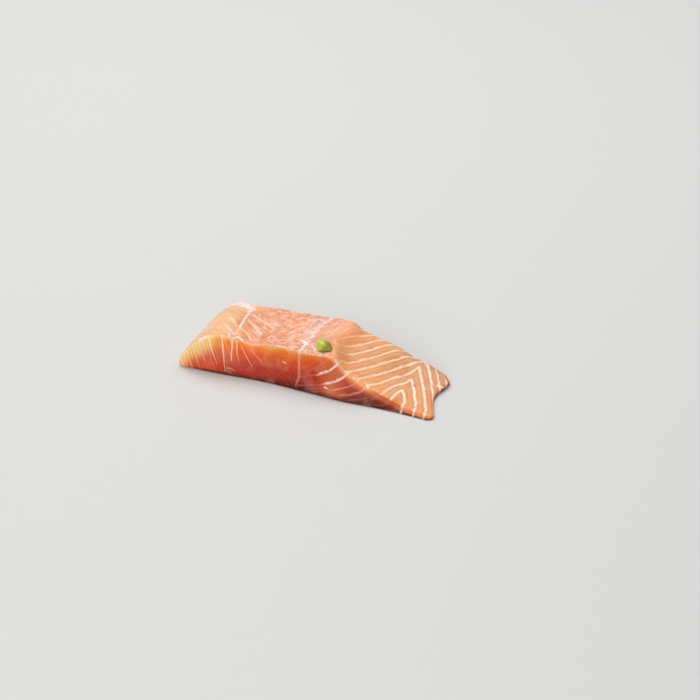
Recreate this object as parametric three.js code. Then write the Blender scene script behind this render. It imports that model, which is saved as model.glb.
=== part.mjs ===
/**
 * A raw, skinned salmon fillet portion with one small herb leaf lying on it.
 *
 * Millimetres, +Z up. The portion lies on its flat underside: +X runs from the tapering back
 * end to the thin belly end, -Y is the front cut and +Y the rear cut. The origin is the
 * middle of the fillet's bounding box, at the level it rests on.
 *
 * The fillet is a block whose three coordinates are bent to the form of the portion:
 *   along  0 to LENGTH, back end to belly end
 *   across 0 to WIDTH, front cut to rear cut
 *   up     0 to the local thickness
 */
import * as THREE from "three";
import { mergeVertices } from "three/addons/utils/BufferGeometryUtils.js";

const { clamp, lerp, smoothstep, degToRad } = THREE.MathUtils;

// ---- Driving dimensions of the fillet ----
const LENGTH = 163;
const WIDTH = 47;

// Thickness over the front cut and over the rear cut, as [along, thickness]. The back end
// rises to the loin, which breaks down at a shoulder into the thin belly.
const FRONT_THICKNESS = [
  [0, 6], [13, 19], [28, 25], [48, 21], [58, 22.7], [80, 22.4],
  [98, 23.6], [108, 16], [124, 8.8], [140, 4.4], [148, 2.4], [163, 2.2],
];
const REAR_THICKNESS = [
  [0, 9], [8, 19], [22, 25.6], [74, 28], [100, 28.6], [109, 23.6],
  [124, 20], [136, 15.8], [143, 11.8], [156, 7.6], [163, 3.8],
];
// The belly's fall from rear cut to front cut sits nearer the front for a power above 1.
const THICKNESS_POWER = 1.15;
const LOIN_CROWN = 1; // the loin's top is this much fuller in the middle
const CROWN_RISES = [10, 30];
const CROWN_ENDS = [95, 140];

// How far the top of the front cut leans back from its foot, as [along, lean].
const FRONT_LEAN = [[0, 1], [20, 4.5], [40, 7], [98, 9], [115, 8], [135, 6], [163, 2]];
const REAR_LEAN = 2.5;
const REAR_LEAN_FULL = 40; // the rear cut leans fully from here on

// The foot of each cut, seen from above. The front one's hollow and bulge are humps, given
// as [along, half width, height].
const FRONT_FOOT = -0.5;
const FRONT_FOOT_HOLLOW = [58, 26, 1.8];
const FRONT_FOOT_BULGE = [110, 14, 1];
const BELLY_CORNER = [120, 0.8]; // the foot runs forward by 0.8 from here to the belly end
const REAR_FOOT_HOLLOW = 1;

const EDGE_ROUND = 2.6; // rounding of the upper edges
const FOOT_ROUND = 1.2; // rounding of the lower edges
const EDGE_ROUND_MOST = 0.48; // share of the thickness
const FOOT_ROUND_MOST = 0.3;
const CORNER_ROUND = 1.9; // rounding of the corners, seen from above

// Seams between the muscles, as grooves in the top: [along at front, along at rear].
const SEAMS = [[36, 31], [79, 82]];
const SEAM_DEPTH = 0.6;
const SEAM_HALF_WIDTH = 2.4;
const SEAMS_BEGIN = [14, 26];
const SEAMS_END = [92, 100];

// The back end, seen from above: how far it stands back, its bow, and its cut rear corner.
const BACK_END = -1.4;
const BACK_BOW = 0.8;
const BACK_CORNER = 1.2;

// The belly end has a full front corner, a notch in the middle and a flap at the rear. Humps
// and slopes are placed by the share across, from front cut to rear cut.
const BELLY_END = 0.3;
const FRONT_CORNER = { centre: 0.06, halfWidth: 0.07, reach: 1.9 };
const NOTCH = { from: 0.08, to: 0.5, depth: 6.2 };
const FLAP = { centre: 0.8, halfWidth: 0.14, reach: 1.8 };
const FLAP_CORNER = { from: 0.85, depth: 3 };

const FILLET_GRID = [60, 18, 7]; // segments along, across and up
const GRID_CROWDING = 0.72; // 0 for even grid lines, towards 1 for lines crowded at the edges

// ---- Driving dimensions of the herb leaf ----
const LEAF_LENGTH = 10.8;
const LEAF_WIDTH = 9;
const LEAF_FAR_HALF = 0.72; // width of the rear half as a share of the front half's
const LEAF_THICKNESS = 0.5;
const LEAF_CENTRE = [91.6, 14.7]; // from the back end and from the front cut's foot
const LEAF_TURN = degToRad(-24); // from stalk to tip, seen from above
const LEAF_DOME = 1.9; // the middle stands this much over the margin
const LEAF_STALK_RISE = 2.4; // the stalk end stands this much over the tip
const LEAF_SPREAD = 0.35; // share of the length over which the raised stalk end spreads out
const LEAF_WAVE = 0.2; // the margin waves by twice this height
const LEAF_WAVE_RATE = 9; // radians of the wave from stalk to tip
const LEAF_WAVE_START = 2;
const LEAF_GAP = 0.3; // clearance between the leaf and the fillet
const LEAF_TIP_WIDTH = 0.06; // share of the width left at stalk and tip
const LEAF_WIDEST = 0.8; // below 1 the leaf is widest nearer the stalk
const LEAF_FULLNESS = 0.62; // below 1 the outline is fuller than a sine
const LEAF_GRID = [14, 10]; // segments along and across

const PLACING_STEPS = 12; // steps that find the top under a place

// ---- Curves ----

/** A smooth single hump of height 1 at `centre`. */
const hump = (centre, halfWidth, x) => Math.exp(-(((x - centre) / halfWidth) ** 2));

/** Slope of a curve at station i that never overshoots its neighbours. */
function slopeAt(stations, i) {
  const rise = (k) =>
    (stations[k + 1][1] - stations[k][1]) / (stations[k + 1][0] - stations[k][0]);
  if (i === 0) return rise(0);
  if (i === stations.length - 1) return rise(i - 1);
  const [before, after] = [rise(i - 1), rise(i)];
  if (before * after <= 0) return 0;
  const gapBefore = stations[i][0] - stations[i - 1][0];
  const gapAfter = stations[i + 1][0] - stations[i][0];
  const [w1, w2] = [2 * gapAfter + gapBefore, gapAfter + 2 * gapBefore];
  return (w1 + w2) / (w1 / before + w2 / after);
}

/** Smooth curve through [position, value] stations, read at x. */
function through(stations, x) {
  const last = stations.length - 1;
  let i = 0;
  while (i < last - 1 && x > stations[i + 1][0]) i += 1;
  const [[x0, y0], [x1, y1]] = [stations[i], stations[i + 1]];
  const gap = x1 - x0;
  const t = (clamp(x, stations[0][0], stations[last][0]) - x0) / gap;
  return (
    (2 * t ** 3 - 3 * t ** 2 + 1) * y0 +
    (t ** 3 - 2 * t ** 2 + t) * gap * slopeAt(stations, i) +
    (3 * t ** 2 - 2 * t ** 3) * y1 +
    (t ** 3 - t ** 2) * gap * slopeAt(stations, i + 1)
  );
}

// ---- Form of the fillet ----

/** A hump given by its centre, half width and height. */
const humpOf = ([centre, halfWidth, height], x) => height * hump(centre, halfWidth, x);

/** Outline of the back end: slightly bowed. t runs 0 to 1 from front cut to rear cut. */
const backEnd = (t) => BACK_END - BACK_BOW * Math.sin(Math.PI * t) + BACK_CORNER * t ** 3;

/** Outline of the belly end: a full front corner, the notch, then the flap. */
function bellyEnd(t) {
  const corner = FRONT_CORNER.reach * hump(FRONT_CORNER.centre, FRONT_CORNER.halfWidth, t);
  const notch = NOTCH.depth * smoothstep(t, NOTCH.from, NOTCH.to);
  const flap = FLAP.reach * hump(FLAP.centre, FLAP.halfWidth, t);
  const flapCorner = FLAP_CORNER.depth * smoothstep(t, FLAP_CORNER.from, 1);
  return LENGTH + BELLY_END + corner - notch + flap - flapCorner;
}

/** Foot of the front cut: a shallow hollow, then a belly that runs slightly forward. */
function frontFoot(along) {
  const [cornerFrom, cornerReach] = BELLY_CORNER;
  const hollow = humpOf(FRONT_FOOT_HOLLOW, along) - humpOf(FRONT_FOOT_BULGE, along);
  return FRONT_FOOT + hollow - cornerReach * smoothstep(along, cornerFrom, LENGTH);
}

/** Foot of the rear cut, drawn in at the middle. */
const rearFoot = (along) => WIDTH - REAR_FOOT_HOLLOW * Math.sin((Math.PI * along) / LENGTH);

/** Depth of the muscle seams in the top. */
function seamDepth(along, t) {
  const onLoin = smoothstep(along, ...SEAMS_BEGIN) * (1 - smoothstep(along, ...SEAMS_END));
  const depths = SEAMS.map(([front, rear]) =>
    hump(lerp(front, rear, t), SEAM_HALF_WIDTH, along));
  return SEAM_DEPTH * onLoin * depths.reduce((a, b) => a + b);
}

/** Thickness at a place of the top. */
function thickness(along, t) {
  const front = through(FRONT_THICKNESS, along);
  const rear = through(REAR_THICKNESS, along);
  const share = ((t + smoothstep(t, 0, 1)) / 2) ** THICKNESS_POWER;
  const loin = smoothstep(along, ...CROWN_RISES) * (1 - smoothstep(along, ...CROWN_ENDS));
  return lerp(front, rear, share) + LOIN_CROWN * 4 * t * (1 - t) * loin - seamDepth(along, t);
}

/** Point of the fillet for block shares u, v, w along, across and up. */
function filletPoint(u, v, w) {
  const along = u * LENGTH;
  const across = v * WIDTH;
  const tall = thickness(along, v);
  const up = w * tall;

  // Round the block's edges: keep the offset from an inner block to an ellipsoid.
  const top = Math.min(EDGE_ROUND, EDGE_ROUND_MOST * tall);
  const foot = Math.min(FOOT_ROUND, FOOT_ROUND_MOST * tall);
  const round = new THREE.Vector3(CORNER_ROUND, CORNER_ROUND, up > tall / 2 ? top : foot);
  const inner = new THREE.Vector3(
    clamp(along, CORNER_ROUND, LENGTH - CORNER_ROUND),
    clamp(across, CORNER_ROUND, WIDTH - CORNER_ROUND),
    clamp(up, foot, tall - top),
  );
  const offset = new THREE.Vector3(along, across, up).sub(inner).divide(round);
  const [a, b, c] = inner.add(offset.divideScalar(Math.max(1, offset.length())).multiply(round));

  // Bend the rounded block to the outline, and lean its cuts.
  const t = b / WIDTH;
  const share = c / tall;
  const x = lerp(backEnd(t), bellyEnd(t), a / LENGTH);
  const frontLean = through(FRONT_LEAN, a) * share * (1 - t);
  const rearLean = REAR_LEAN * share ** 2 * t * smoothstep(a, 0, REAR_LEAN_FULL);
  return new THREE.Vector3(x, lerp(frontFoot(a), rearFoot(a), t) + frontLean - rearLean, c);
}

/** Share 0 to 1 with the grid lines crowded towards both ends, where the edges are round. */
const crowded = (share) =>
  share - (GRID_CROWDING * Math.sin(2 * Math.PI * share)) / (2 * Math.PI);

/** The fillet's closed surface: a block's grid with each vertex moved to its place. */
function filletGeometry() {
  const block = new THREE.BoxGeometry(1, 1, 1, ...FILLET_GRID);
  block.deleteAttribute("normal");
  block.deleteAttribute("uv");
  const geometry = mergeVertices(block);
  const place = geometry.attributes.position;
  for (let i = 0; i < place.count; i += 1) {
    const shares = [place.getX(i), place.getY(i), place.getZ(i)].map((c) => crowded(c + 0.5));
    place.setXYZ(i, ...filletPoint(...shares));
  }
  geometry.computeVertexNormals();
  return geometry;
}

// ---- Form of the leaf ----

/** Height of the fillet's top under a place, by walking the block shares towards it. */
function topUnder(x, y) {
  let [u, v] = [x / LENGTH, y / WIDTH];
  for (let step = 0; step < PLACING_STEPS; step += 1) {
    const found = filletPoint(u, v, 1);
    u = clamp(u + (x - found.x) / LENGTH, 0, 1);
    v = clamp(v + (y - found.y) / WIDTH, 0, 1);
  }
  return filletPoint(u, v, 1).z;
}

/** Share of the full width at a place from stalk (0) to tip (1): broad and round. */
const leafBreadth = (s) =>
  Math.max(LEAF_TIP_WIDTH, Math.sin(Math.PI * clamp(s, 0, 1) ** LEAF_WIDEST) ** LEAF_FULLNESS);

/** Point of the leaf: s from stalk to tip, v from -1 to 1 across, level 0 below, 1 above. */
function leafPoint(s, v, level) {
  const p = LEAF_LENGTH * (s - 0.5);
  const halfWidth = (LEAF_WIDTH / 2) * leafBreadth(s) * (v > 0 ? LEAF_FAR_HALF : 1);
  const q = halfWidth * v;
  const x = LEAF_CENTRE[0] + p * Math.cos(LEAF_TURN) - q * Math.sin(LEAF_TURN);
  const y = LEAF_CENTRE[1] + p * Math.sin(LEAF_TURN) + q * Math.cos(LEAF_TURN);
  const arch = LEAF_STALK_RISE * (1 - s) + LEAF_DOME * Math.sin(Math.PI * s);
  const dome = arch * (1 - v * v * smoothstep(s, 0, LEAF_SPREAD));
  const wave = LEAF_WAVE * (1 + Math.sin(LEAF_WAVE_RATE * s + LEAF_WAVE_START)) * v * v;
  return new THREE.Vector3(x, y, topUnder(x, y) + LEAF_GAP + dome + wave + level * LEAF_THICKNESS);
}

/** The leaf's closed surface: two sheets split into triangles alike, joined round the rim. */
function leafGeometry() {
  const [rows, columns] = LEAF_GRID;
  const points = [];
  for (const level of [0, 1]) {
    for (let i = 0; i <= rows; i += 1) {
      for (let j = 0; j <= columns; j += 1) {
        points.push(leafPoint(i / rows, (2 * j) / columns - 1, level));
      }
    }
  }
  const at = (level, i, j) => (level * (rows + 1) + i) * (columns + 1) + j;
  const faces = [];
  for (let i = 0; i < rows; i += 1) {
    for (let j = 0; j < columns; j += 1) {
      const [a, b, c, d] = [[i, j], [i + 1, j], [i + 1, j + 1], [i, j + 1]];
      faces.push(at(1, ...a), at(1, ...b), at(1, ...c), at(1, ...a), at(1, ...c), at(1, ...d));
      faces.push(at(0, ...a), at(0, ...c), at(0, ...b), at(0, ...a), at(0, ...d), at(0, ...c));
    }
  }
  const rim = (from, to) => {
    faces.push(at(0, ...from), at(0, ...to), at(1, ...to));
    faces.push(at(0, ...from), at(1, ...to), at(1, ...from));
  };
  for (let i = 0; i < rows; i += 1) {
    rim([i, 0], [i + 1, 0]);
    rim([i + 1, columns], [i, columns]);
  }
  for (let j = 0; j < columns; j += 1) {
    rim([rows, j], [rows, j + 1]);
    rim([0, j + 1], [0, j]);
  }
  const geometry = new THREE.BufferGeometry().setFromPoints(points);
  geometry.setIndex(faces);
  geometry.computeVertexNormals();
  return geometry;
}

// ---- The portion ----

const flesh = new THREE.MeshStandardMaterial({ color: 0xe0703c, roughness: 0.38, metalness: 0 });
const herb = new THREE.MeshStandardMaterial({ color: 0x8ea832, roughness: 0.5, metalness: 0 });

const fillet = new THREE.Mesh(filletGeometry(), flesh);
fillet.name = "salmon_fillet";

const leaf = new THREE.Mesh(leafGeometry(), herb);
leaf.name = "herb_leaf";

const portion = new THREE.Group();
portion.add(fillet, leaf);

// Put the middle of the fillet's box over the origin.
fillet.geometry.computeBoundingBox();
const middle = fillet.geometry.boundingBox.getCenter(new THREE.Vector3());
portion.position.set(-middle.x, -middle.y, 0);

export default portion;
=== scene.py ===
"""A raw, skinned salmon fillet portion with one herb leaf lying on it.

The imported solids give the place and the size. The portion is made again here as a fine
surface of the same form, with the flakes, fat lines, streaks and wet surface that the solids
leave out, and the leaf with its midrib, veins and thin margin.

Lengths are millimetres inside the classes and metres in the meshes. The portion's own axes
are along (back end to belly end), across (front cut to rear cut) and up.
"""

import logging
import math
from dataclasses import dataclass, field
from enum import Enum

import bpy
import numpy as np
from mathutils import Matrix, Vector


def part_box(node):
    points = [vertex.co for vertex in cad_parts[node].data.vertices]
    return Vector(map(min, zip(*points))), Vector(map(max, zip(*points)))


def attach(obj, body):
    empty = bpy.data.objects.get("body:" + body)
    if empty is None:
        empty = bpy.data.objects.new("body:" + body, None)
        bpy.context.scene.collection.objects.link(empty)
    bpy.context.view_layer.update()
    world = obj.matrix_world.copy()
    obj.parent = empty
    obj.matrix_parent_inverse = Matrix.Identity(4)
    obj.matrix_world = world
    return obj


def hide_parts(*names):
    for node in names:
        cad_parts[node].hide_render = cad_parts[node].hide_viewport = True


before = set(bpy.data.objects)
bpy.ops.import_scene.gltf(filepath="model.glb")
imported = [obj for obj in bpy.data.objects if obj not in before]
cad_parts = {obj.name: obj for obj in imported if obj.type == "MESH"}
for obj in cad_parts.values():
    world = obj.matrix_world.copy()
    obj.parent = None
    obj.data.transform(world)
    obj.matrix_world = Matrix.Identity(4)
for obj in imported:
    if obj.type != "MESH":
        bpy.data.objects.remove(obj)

LOG = logging.getLogger("salmon")
MM = 0.001

Array = np.ndarray
Colour = tuple[float, float, float]
Stations = tuple[tuple[float, float], ...]
Span = tuple[float, float]  # where a smooth rise starts and ends, or a fall if the first is larger
Hump = tuple[float, float]  # centre and half width
Shape = tuple[float, float, float]  # a Hump or a Span, then its height


# ---- Curves and colours ----


def lerp(start: Array | float, end: Array | float, share: Array | float) -> Array:
    """Value a share of the way from start to end."""
    return start + (end - start) * share


def hump(centre: float, half_width: float, x: Array) -> Array:
    """A smooth single hump of height 1 at the centre."""
    return np.exp(-(((x - centre) / half_width) ** 2))


def smooth(x: Array, low: float, high: float) -> Array:
    """Smooth rise from 0 at low to 1 at high: 3t^2 - 2t^3 of the clamped share t."""
    t = np.clip((x - low) / (high - low), 0, 1)
    return t * t * (3 - 2 * t)


def between(x: Array, rise: Span, fall: Span) -> Array:
    """1 on a stretch with a smooth rise at its start and end, and 0 beyond it."""
    return smooth(x, *rise) * (1 - smooth(x, *fall))


def hump_of(shape: Shape, x: Array) -> Array:
    """A hump given by its centre, half width and height."""
    return shape[2] * hump(shape[0], shape[1], x)


def slope_of(shape: Shape, x: Array) -> Array:
    """A smooth rise or fall given by where it is 0, where it is full and its height."""
    return shape[2] * smooth(x, shape[0], shape[1])


def varied(number: Array, turn: float, start: float) -> Array:
    """A value within -1 to 1 that seems random from one whole number to the next: a sine."""
    return np.sin(turn * number + start)


def soft_positive(x: Array, width: float) -> Array:
    """x where it is positive and 0 where it is negative, rounded over the width."""
    return 0.5 * (x + np.sqrt(x * x + width * width))


def through(stations: Stations, x: Array) -> Array:
    """Smooth curve through stations that never overshoots them.

    Each stretch is a cubic between two stations. The slope at an inner station is the
    weighted harmonic mean of the slopes beside it, or 0 where they differ in sign.

    Args:
        stations: Pairs of position and value, by rising position.
        x: Positions to read, held to the ends of the stations.

    Returns:
        The curve's values.
    """
    place, value = np.array(stations, float).T
    gap = np.diff(place)
    rise = np.diff(value) / gap
    before, after = rise[:-1], rise[1:]
    same_sign = before * after > 0
    w1 = 2 * gap[1:] + gap[:-1]
    w2 = gap[1:] + 2 * gap[:-1]
    safe_before = np.where(same_sign, before, 1)
    safe_after = np.where(same_sign, after, 1)
    inner = np.where(same_sign, (w1 + w2) / (w1 / safe_before + w2 / safe_after), 0)
    slope = np.concatenate([rise[:1], inner, rise[-1:]])
    i = np.clip(np.searchsorted(place, x) - 1, 0, len(gap) - 1)
    t = (np.clip(x, place[0], place[-1]) - place[i]) / gap[i]
    return (
        (2 * t**3 - 3 * t**2 + 1) * value[i]
        + (t**3 - 2 * t**2 + t) * gap[i] * slope[i]
        + (3 * t**2 - 2 * t**3) * value[i + 1]
        + (t**3 - t**2) * gap[i] * slope[i + 1]
    )


def linear(red: int, green: int, blue: int) -> Colour:
    """Scene-linear colour of a display colour given as 0 to 255."""
    share = np.array([red, green, blue]) / 255
    return tuple(np.where(share <= 0.04045, share / 12.92, ((share + 0.055) / 1.055) ** 2.4))


class Waves:
    """Smooth noise: the mean of seeded sine waves that run in all directions."""

    rates: Span = (0.6, 1.5)  # slowest and fastest wave, as shares of the typical one

    def __init__(self, seed: int, wavelength: float, count: int = 24) -> None:
        """Draws the waves.

        Args:
            seed: Seed of the draw.
            wavelength: Typical distance from crest to crest, in mm.
            count: Number of waves.
        """
        draw = np.random.default_rng(seed)
        heading = draw.normal(size=(count, 3))
        heading /= np.linalg.norm(heading, axis=1, keepdims=True)
        rates = draw.uniform(*self.rates, (count, 1))
        self.steps = heading * (2 * math.pi / wavelength) * rates
        self.starts = draw.uniform(0, 2 * math.pi, count)

    def at(self, points: Array) -> Array:
        """Height of the noise, mostly within -1 to 1, at an array of points.

        Args:
            points: Places in mm, one row each.

        Returns:
            The heights.
        """
        total = np.zeros(len(points))
        for step, start in zip(self.steps, self.starts):
            total += np.sin(points @ step + start)
        return total * math.sqrt(2 / len(self.steps))


# ---- Form of the portion ----


@dataclass(frozen=True)
class BlockPoints:
    """Points of the portion: where they are, and where in the straight block they came from."""

    xyz: Array  # in the portion's own frame, front foot corner of the back end at 0
    along: Array
    across: Array
    up: Array
    tall: Array  # thickness of the portion at the point

    @property
    def depth(self) -> Array:
        """Distance below the top."""
        return np.maximum(self.tall - self.up, 0)


@dataclass(frozen=True)
class PortionForm:
    """Sizes that bend a straight block to the portion."""

    length: float = 163.0
    width: float = 47.0
    front_thickness: Stations = (
        (0, 6), (13, 19), (28, 25), (48, 21), (58, 22.7), (80, 22.4),
        (98, 23.6), (108, 16), (124, 8.8), (140, 4.4), (148, 2.4), (163, 2.2),
    )
    rear_thickness: Stations = (
        (0, 9), (8, 19), (22, 25.6), (74, 28), (100, 28.6), (109, 23.6),
        (124, 20), (136, 15.8), (143, 11.8), (156, 7.6), (163, 3.8),
    )
    thickness_power: float = 1.15  # above 1 the belly's fall sits nearer the front cut
    loin_crown: float = 1.0
    crown_rises: Span = (10, 30)
    crown_ends: Span = (95, 140)
    front_lean: Stations = ((0, 1), (20, 4.5), (40, 7), (98, 9), (115, 8), (135, 6), (163, 2))
    rear_lean: float = 2.5
    rear_lean_grows: Span = (0, 40)
    edge_round: float = 2.6
    foot_round: float = 1.2
    edge_round_most: float = 0.48  # share of the thickness
    foot_round_most: float = 0.3
    corner_round: float = 1.9
    seams: Stations = ((36, 31), (79, 82))  # at the front cut and at the rear cut
    seam_depth: float = 0.6
    seam_half_width: float = 2.4
    seams_begin: Span = (14, 26)
    seams_end: Span = (92, 100)
    back_end_at: float = -1.4
    back_bow: float = 0.8
    back_corner: float = 1.2
    belly_end_past: float = 0.3
    front_corner: Shape = (0.06, 0.07, 1.9)  # a hump of the belly end, by the share across
    notch: Shape = (0.08, 0.5, 6.2)  # a slope of it
    flap: Shape = (0.8, 0.14, 1.8)  # a hump
    flap_corner: Shape = (0.85, 1.0, 3.0)  # a slope
    front_foot_at: float = -0.5
    front_hollow: Shape = (58, 26, 1.8)  # a hump
    front_bulge: Shape = (110, 14, 1.0)  # a hump
    belly_corner: Shape = (120, 163, 0.8)  # a slope
    rear_hollow: float = 1.0

    def back_end(self, t: Array) -> Array:
        """Outline of the back end, slightly bowed, for shares t from front cut to rear cut."""
        return self.back_end_at - self.back_bow * np.sin(math.pi * t) + self.back_corner * t**3

    def belly_end(self, t: Array) -> Array:
        """Outline of the belly end: a full front corner, the notch, then the flap.

        Args:
            t: Shares from front cut to rear cut.

        Returns:
            Places along.
        """
        humps = hump_of(self.front_corner, t) + hump_of(self.flap, t)
        cuts = slope_of(self.notch, t) + slope_of(self.flap_corner, t)
        return self.length + self.belly_end_past + humps - cuts

    def front_foot(self, along: Array) -> Array:
        """Foot of the front cut: a shallow hollow, then a belly that runs slightly forward."""
        hollow = hump_of(self.front_hollow, along) - hump_of(self.front_bulge, along)
        return self.front_foot_at + hollow - slope_of(self.belly_corner, along)

    def rear_foot(self, along: Array) -> Array:
        """Foot of the rear cut, drawn in at the middle."""
        return self.width - self.rear_hollow * np.sin(math.pi * along / self.length)

    def thickness(self, along: Array, t: Array) -> Array:
        """Thickness of the portion, with its crowned loin and the grooves of its seams.

        Args:
            along: Distance from the back end.
            t: Share from front cut to rear cut.

        Returns:
            The thickness.
        """
        share = ((t + smooth(t, 0, 1)) / 2) ** self.thickness_power
        front, rear = through(self.front_thickness, along), through(self.rear_thickness, along)
        on_crown = between(along, self.crown_rises, self.crown_ends)
        on_loin = between(along, self.seams_begin, self.seams_end)
        grooves = sum(hump(0, self.seam_half_width, along - lerp(a, b, t)) for a, b in self.seams)
        crown = self.loin_crown * 4 * t * (1 - t) * on_crown
        return lerp(front, rear, share) + crown - self.seam_depth * on_loin * grooves

    def place(self, u: Array, v: Array, w: Array) -> BlockPoints:
        """Bends the unit block to the portion.

        The block's edges are rounded by holding each point to an inner block, and scaling
        its offset from there back to an ellipsoid. The result is stretched to the outline,
        and its cuts are leaned.

        Args:
            u: Shares along.
            v: Shares across.
            w: Shares up.

        Returns:
            The points.
        """
        block = np.stack([u * self.length, v * self.width, w], -1)
        tall = self.thickness(block[:, 0], v)
        block[:, 2] *= tall
        top = np.minimum(self.edge_round, self.edge_round_most * tall)
        foot = np.minimum(self.foot_round, self.foot_round_most * tall)
        corner = np.full_like(tall, self.corner_round)
        rounding = np.stack([corner, corner, np.where(block[:, 2] > tall / 2, top, foot)], -1)
        low = np.stack([corner, corner, foot], -1)
        high = np.stack([self.length - corner, self.width - corner, tall - top], -1)
        inner = np.clip(block, low, high)
        offset = (block - inner) / rounding
        offset /= np.maximum(1, np.linalg.norm(offset, axis=1, keepdims=True))
        along, across, up = (inner + offset * rounding).T

        t = across / self.width
        share = up / tall
        x = lerp(self.back_end(t), self.belly_end(t), along / self.length)
        front = through(self.front_lean, along) * share * (1 - t)
        rear = self.rear_lean * share**2 * t * smooth(along, *self.rear_lean_grows)
        y = lerp(self.front_foot(along), self.rear_foot(along), t) + front - rear
        return BlockPoints(np.stack([x, y, up], -1), along, across, up, tall)


@dataclass(frozen=True)
class BlockSkin:
    """The six faces of a block as one closed grid of squares."""

    # Corners of a square in order, on a face at the low end of its axis and at the high end.
    RINGS = (((0, 0), (0, 1), (1, 1), (1, 0)), ((0, 0), (1, 0), (1, 1), (0, 1)))

    segments: tuple[int, int, int]
    crowding: float = 0.3  # how much closer the grid lines are at the ends than in the middle

    def shares(self, axis: int, steps: Array) -> Array:
        """Shares 0 to 1 of grid lines, crowded towards both ends by a sine."""
        share = steps / self.segments[axis]
        return share - self.crowding * np.sin(2 * math.pi * share) / (2 * math.pi)

    def surface(self) -> tuple[Array, Array]:
        """Builds the grid.

        Each face is a grid of whole-number block coordinates. Vertices that faces share
        have the same coordinates, so they are merged by one key for each coordinate triple.

        Returns:
            Shares along the three axes, one row a vertex, and the squares' vertex numbers.
        """
        corners = []
        for axis in range(3):
            first, second = (axis + 1) % 3, (axis + 2) % 3
            i, j = np.meshgrid(
                np.arange(self.segments[first]), np.arange(self.segments[second]), indexing="ij"
            )
            for side in (0, 1):
                square = np.zeros((i.size, 4, 3), int)
                square[:, :, axis] = side * self.segments[axis]
                for corner, (di, dj) in enumerate(self.RINGS[side]):
                    square[:, corner, first] = (i + di).ravel()
                    square[:, corner, second] = (j + dj).ravel()
                corners.append(square)
        every = np.concatenate(corners).reshape(-1, 3)
        counts = np.array(self.segments) + 1
        keys = (every[:, 0] * counts[1] + every[:, 1]) * counts[2] + every[:, 2]
        _, first_seen, number = np.unique(keys, return_index=True, return_inverse=True)
        steps = every[first_seen]
        shares = np.stack([self.shares(axis, steps[:, axis]) for axis in range(3)], -1)
        return shares, number.reshape(-1, 4)


def outward(xyz: Array, squares: Array) -> Array:
    """Unit normals at the vertices: the mean of the squares' crossed diagonals.

    Args:
        xyz: Vertex places.
        squares: Vertex numbers of the squares.

    Returns:
        The normals.
    """
    first, second, third, fourth = (xyz[squares[:, k]] for k in range(4))
    cross = np.cross(third - first, fourth - second)
    total = np.stack(
        [np.bincount(squares.ravel(), np.repeat(cross[:, k], 4), len(xyz)) for k in range(3)], -1
    )
    return total / np.maximum(np.linalg.norm(total, axis=1, keepdims=True), 1e-12)


def steepness(xyz: Array, squares: Array, value: Array) -> Array:
    """How fast a value changes over the surface, for each mm, at the vertices.

    In each square the gradient is solved from the changes along two of its sides, and the
    squares' results are averaged at their corners.

    Args:
        xyz: Vertex places.
        squares: Vertex numbers of the squares.
        value: The value at the vertices.

    Returns:
        The size of the gradient.
    """
    p0, p1, _, p3 = (xyz[squares[:, k]] for k in range(4))
    side_a, side_b = p1 - p0, p3 - p0
    change_a = value[squares[:, 1]] - value[squares[:, 0]]
    change_b = value[squares[:, 3]] - value[squares[:, 0]]
    aa = (side_a * side_a).sum(1)
    bb = (side_b * side_b).sum(1)
    ab = (side_a * side_b).sum(1)
    squared = change_a**2 * bb - 2 * change_a * change_b * ab + change_b**2 * aa
    size = np.sqrt(np.maximum(squared, 0) / np.maximum(aa * bb - ab * ab, 1e-9))
    corners = squares.ravel()
    count = np.bincount(corners, minlength=len(xyz))
    return np.bincount(corners, np.repeat(size, 4), len(xyz)) / np.maximum(count, 1)


# ---- Anatomy of the flesh ----


@dataclass(frozen=True)
class Sides:
    """Shares 0 to 1 of how much a point belongs to each side of the portion."""

    top: Array
    under: Array
    front: Array
    rear: Array
    ends: Array
    edge: Array  # distance from the top's rim in mm, positive on the top
    BLEND = 0.5  # mm by which a side gives way to the next one, each way

    @classmethod
    def of(cls, form: PortionForm, points: BlockPoints) -> "Sides":
        """Reads the sides from the distances to them: a point belongs to the nearest one.

        Args:
            form: Form of the portion.
            points: Points of the portion.

        Returns:
            The shares.
        """
        distance = np.stack([
            points.depth, points.up, points.across, form.width - points.across,
            np.minimum(points.along, form.length - points.along),
        ])
        shares = []
        for side in range(len(distance)):
            others = np.delete(distance, side, 0).min(0)
            shares.append(smooth(others - distance[side], -cls.BLEND, cls.BLEND))
        return cls(*shares, distance[1:].min(0) - distance[0])


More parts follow.
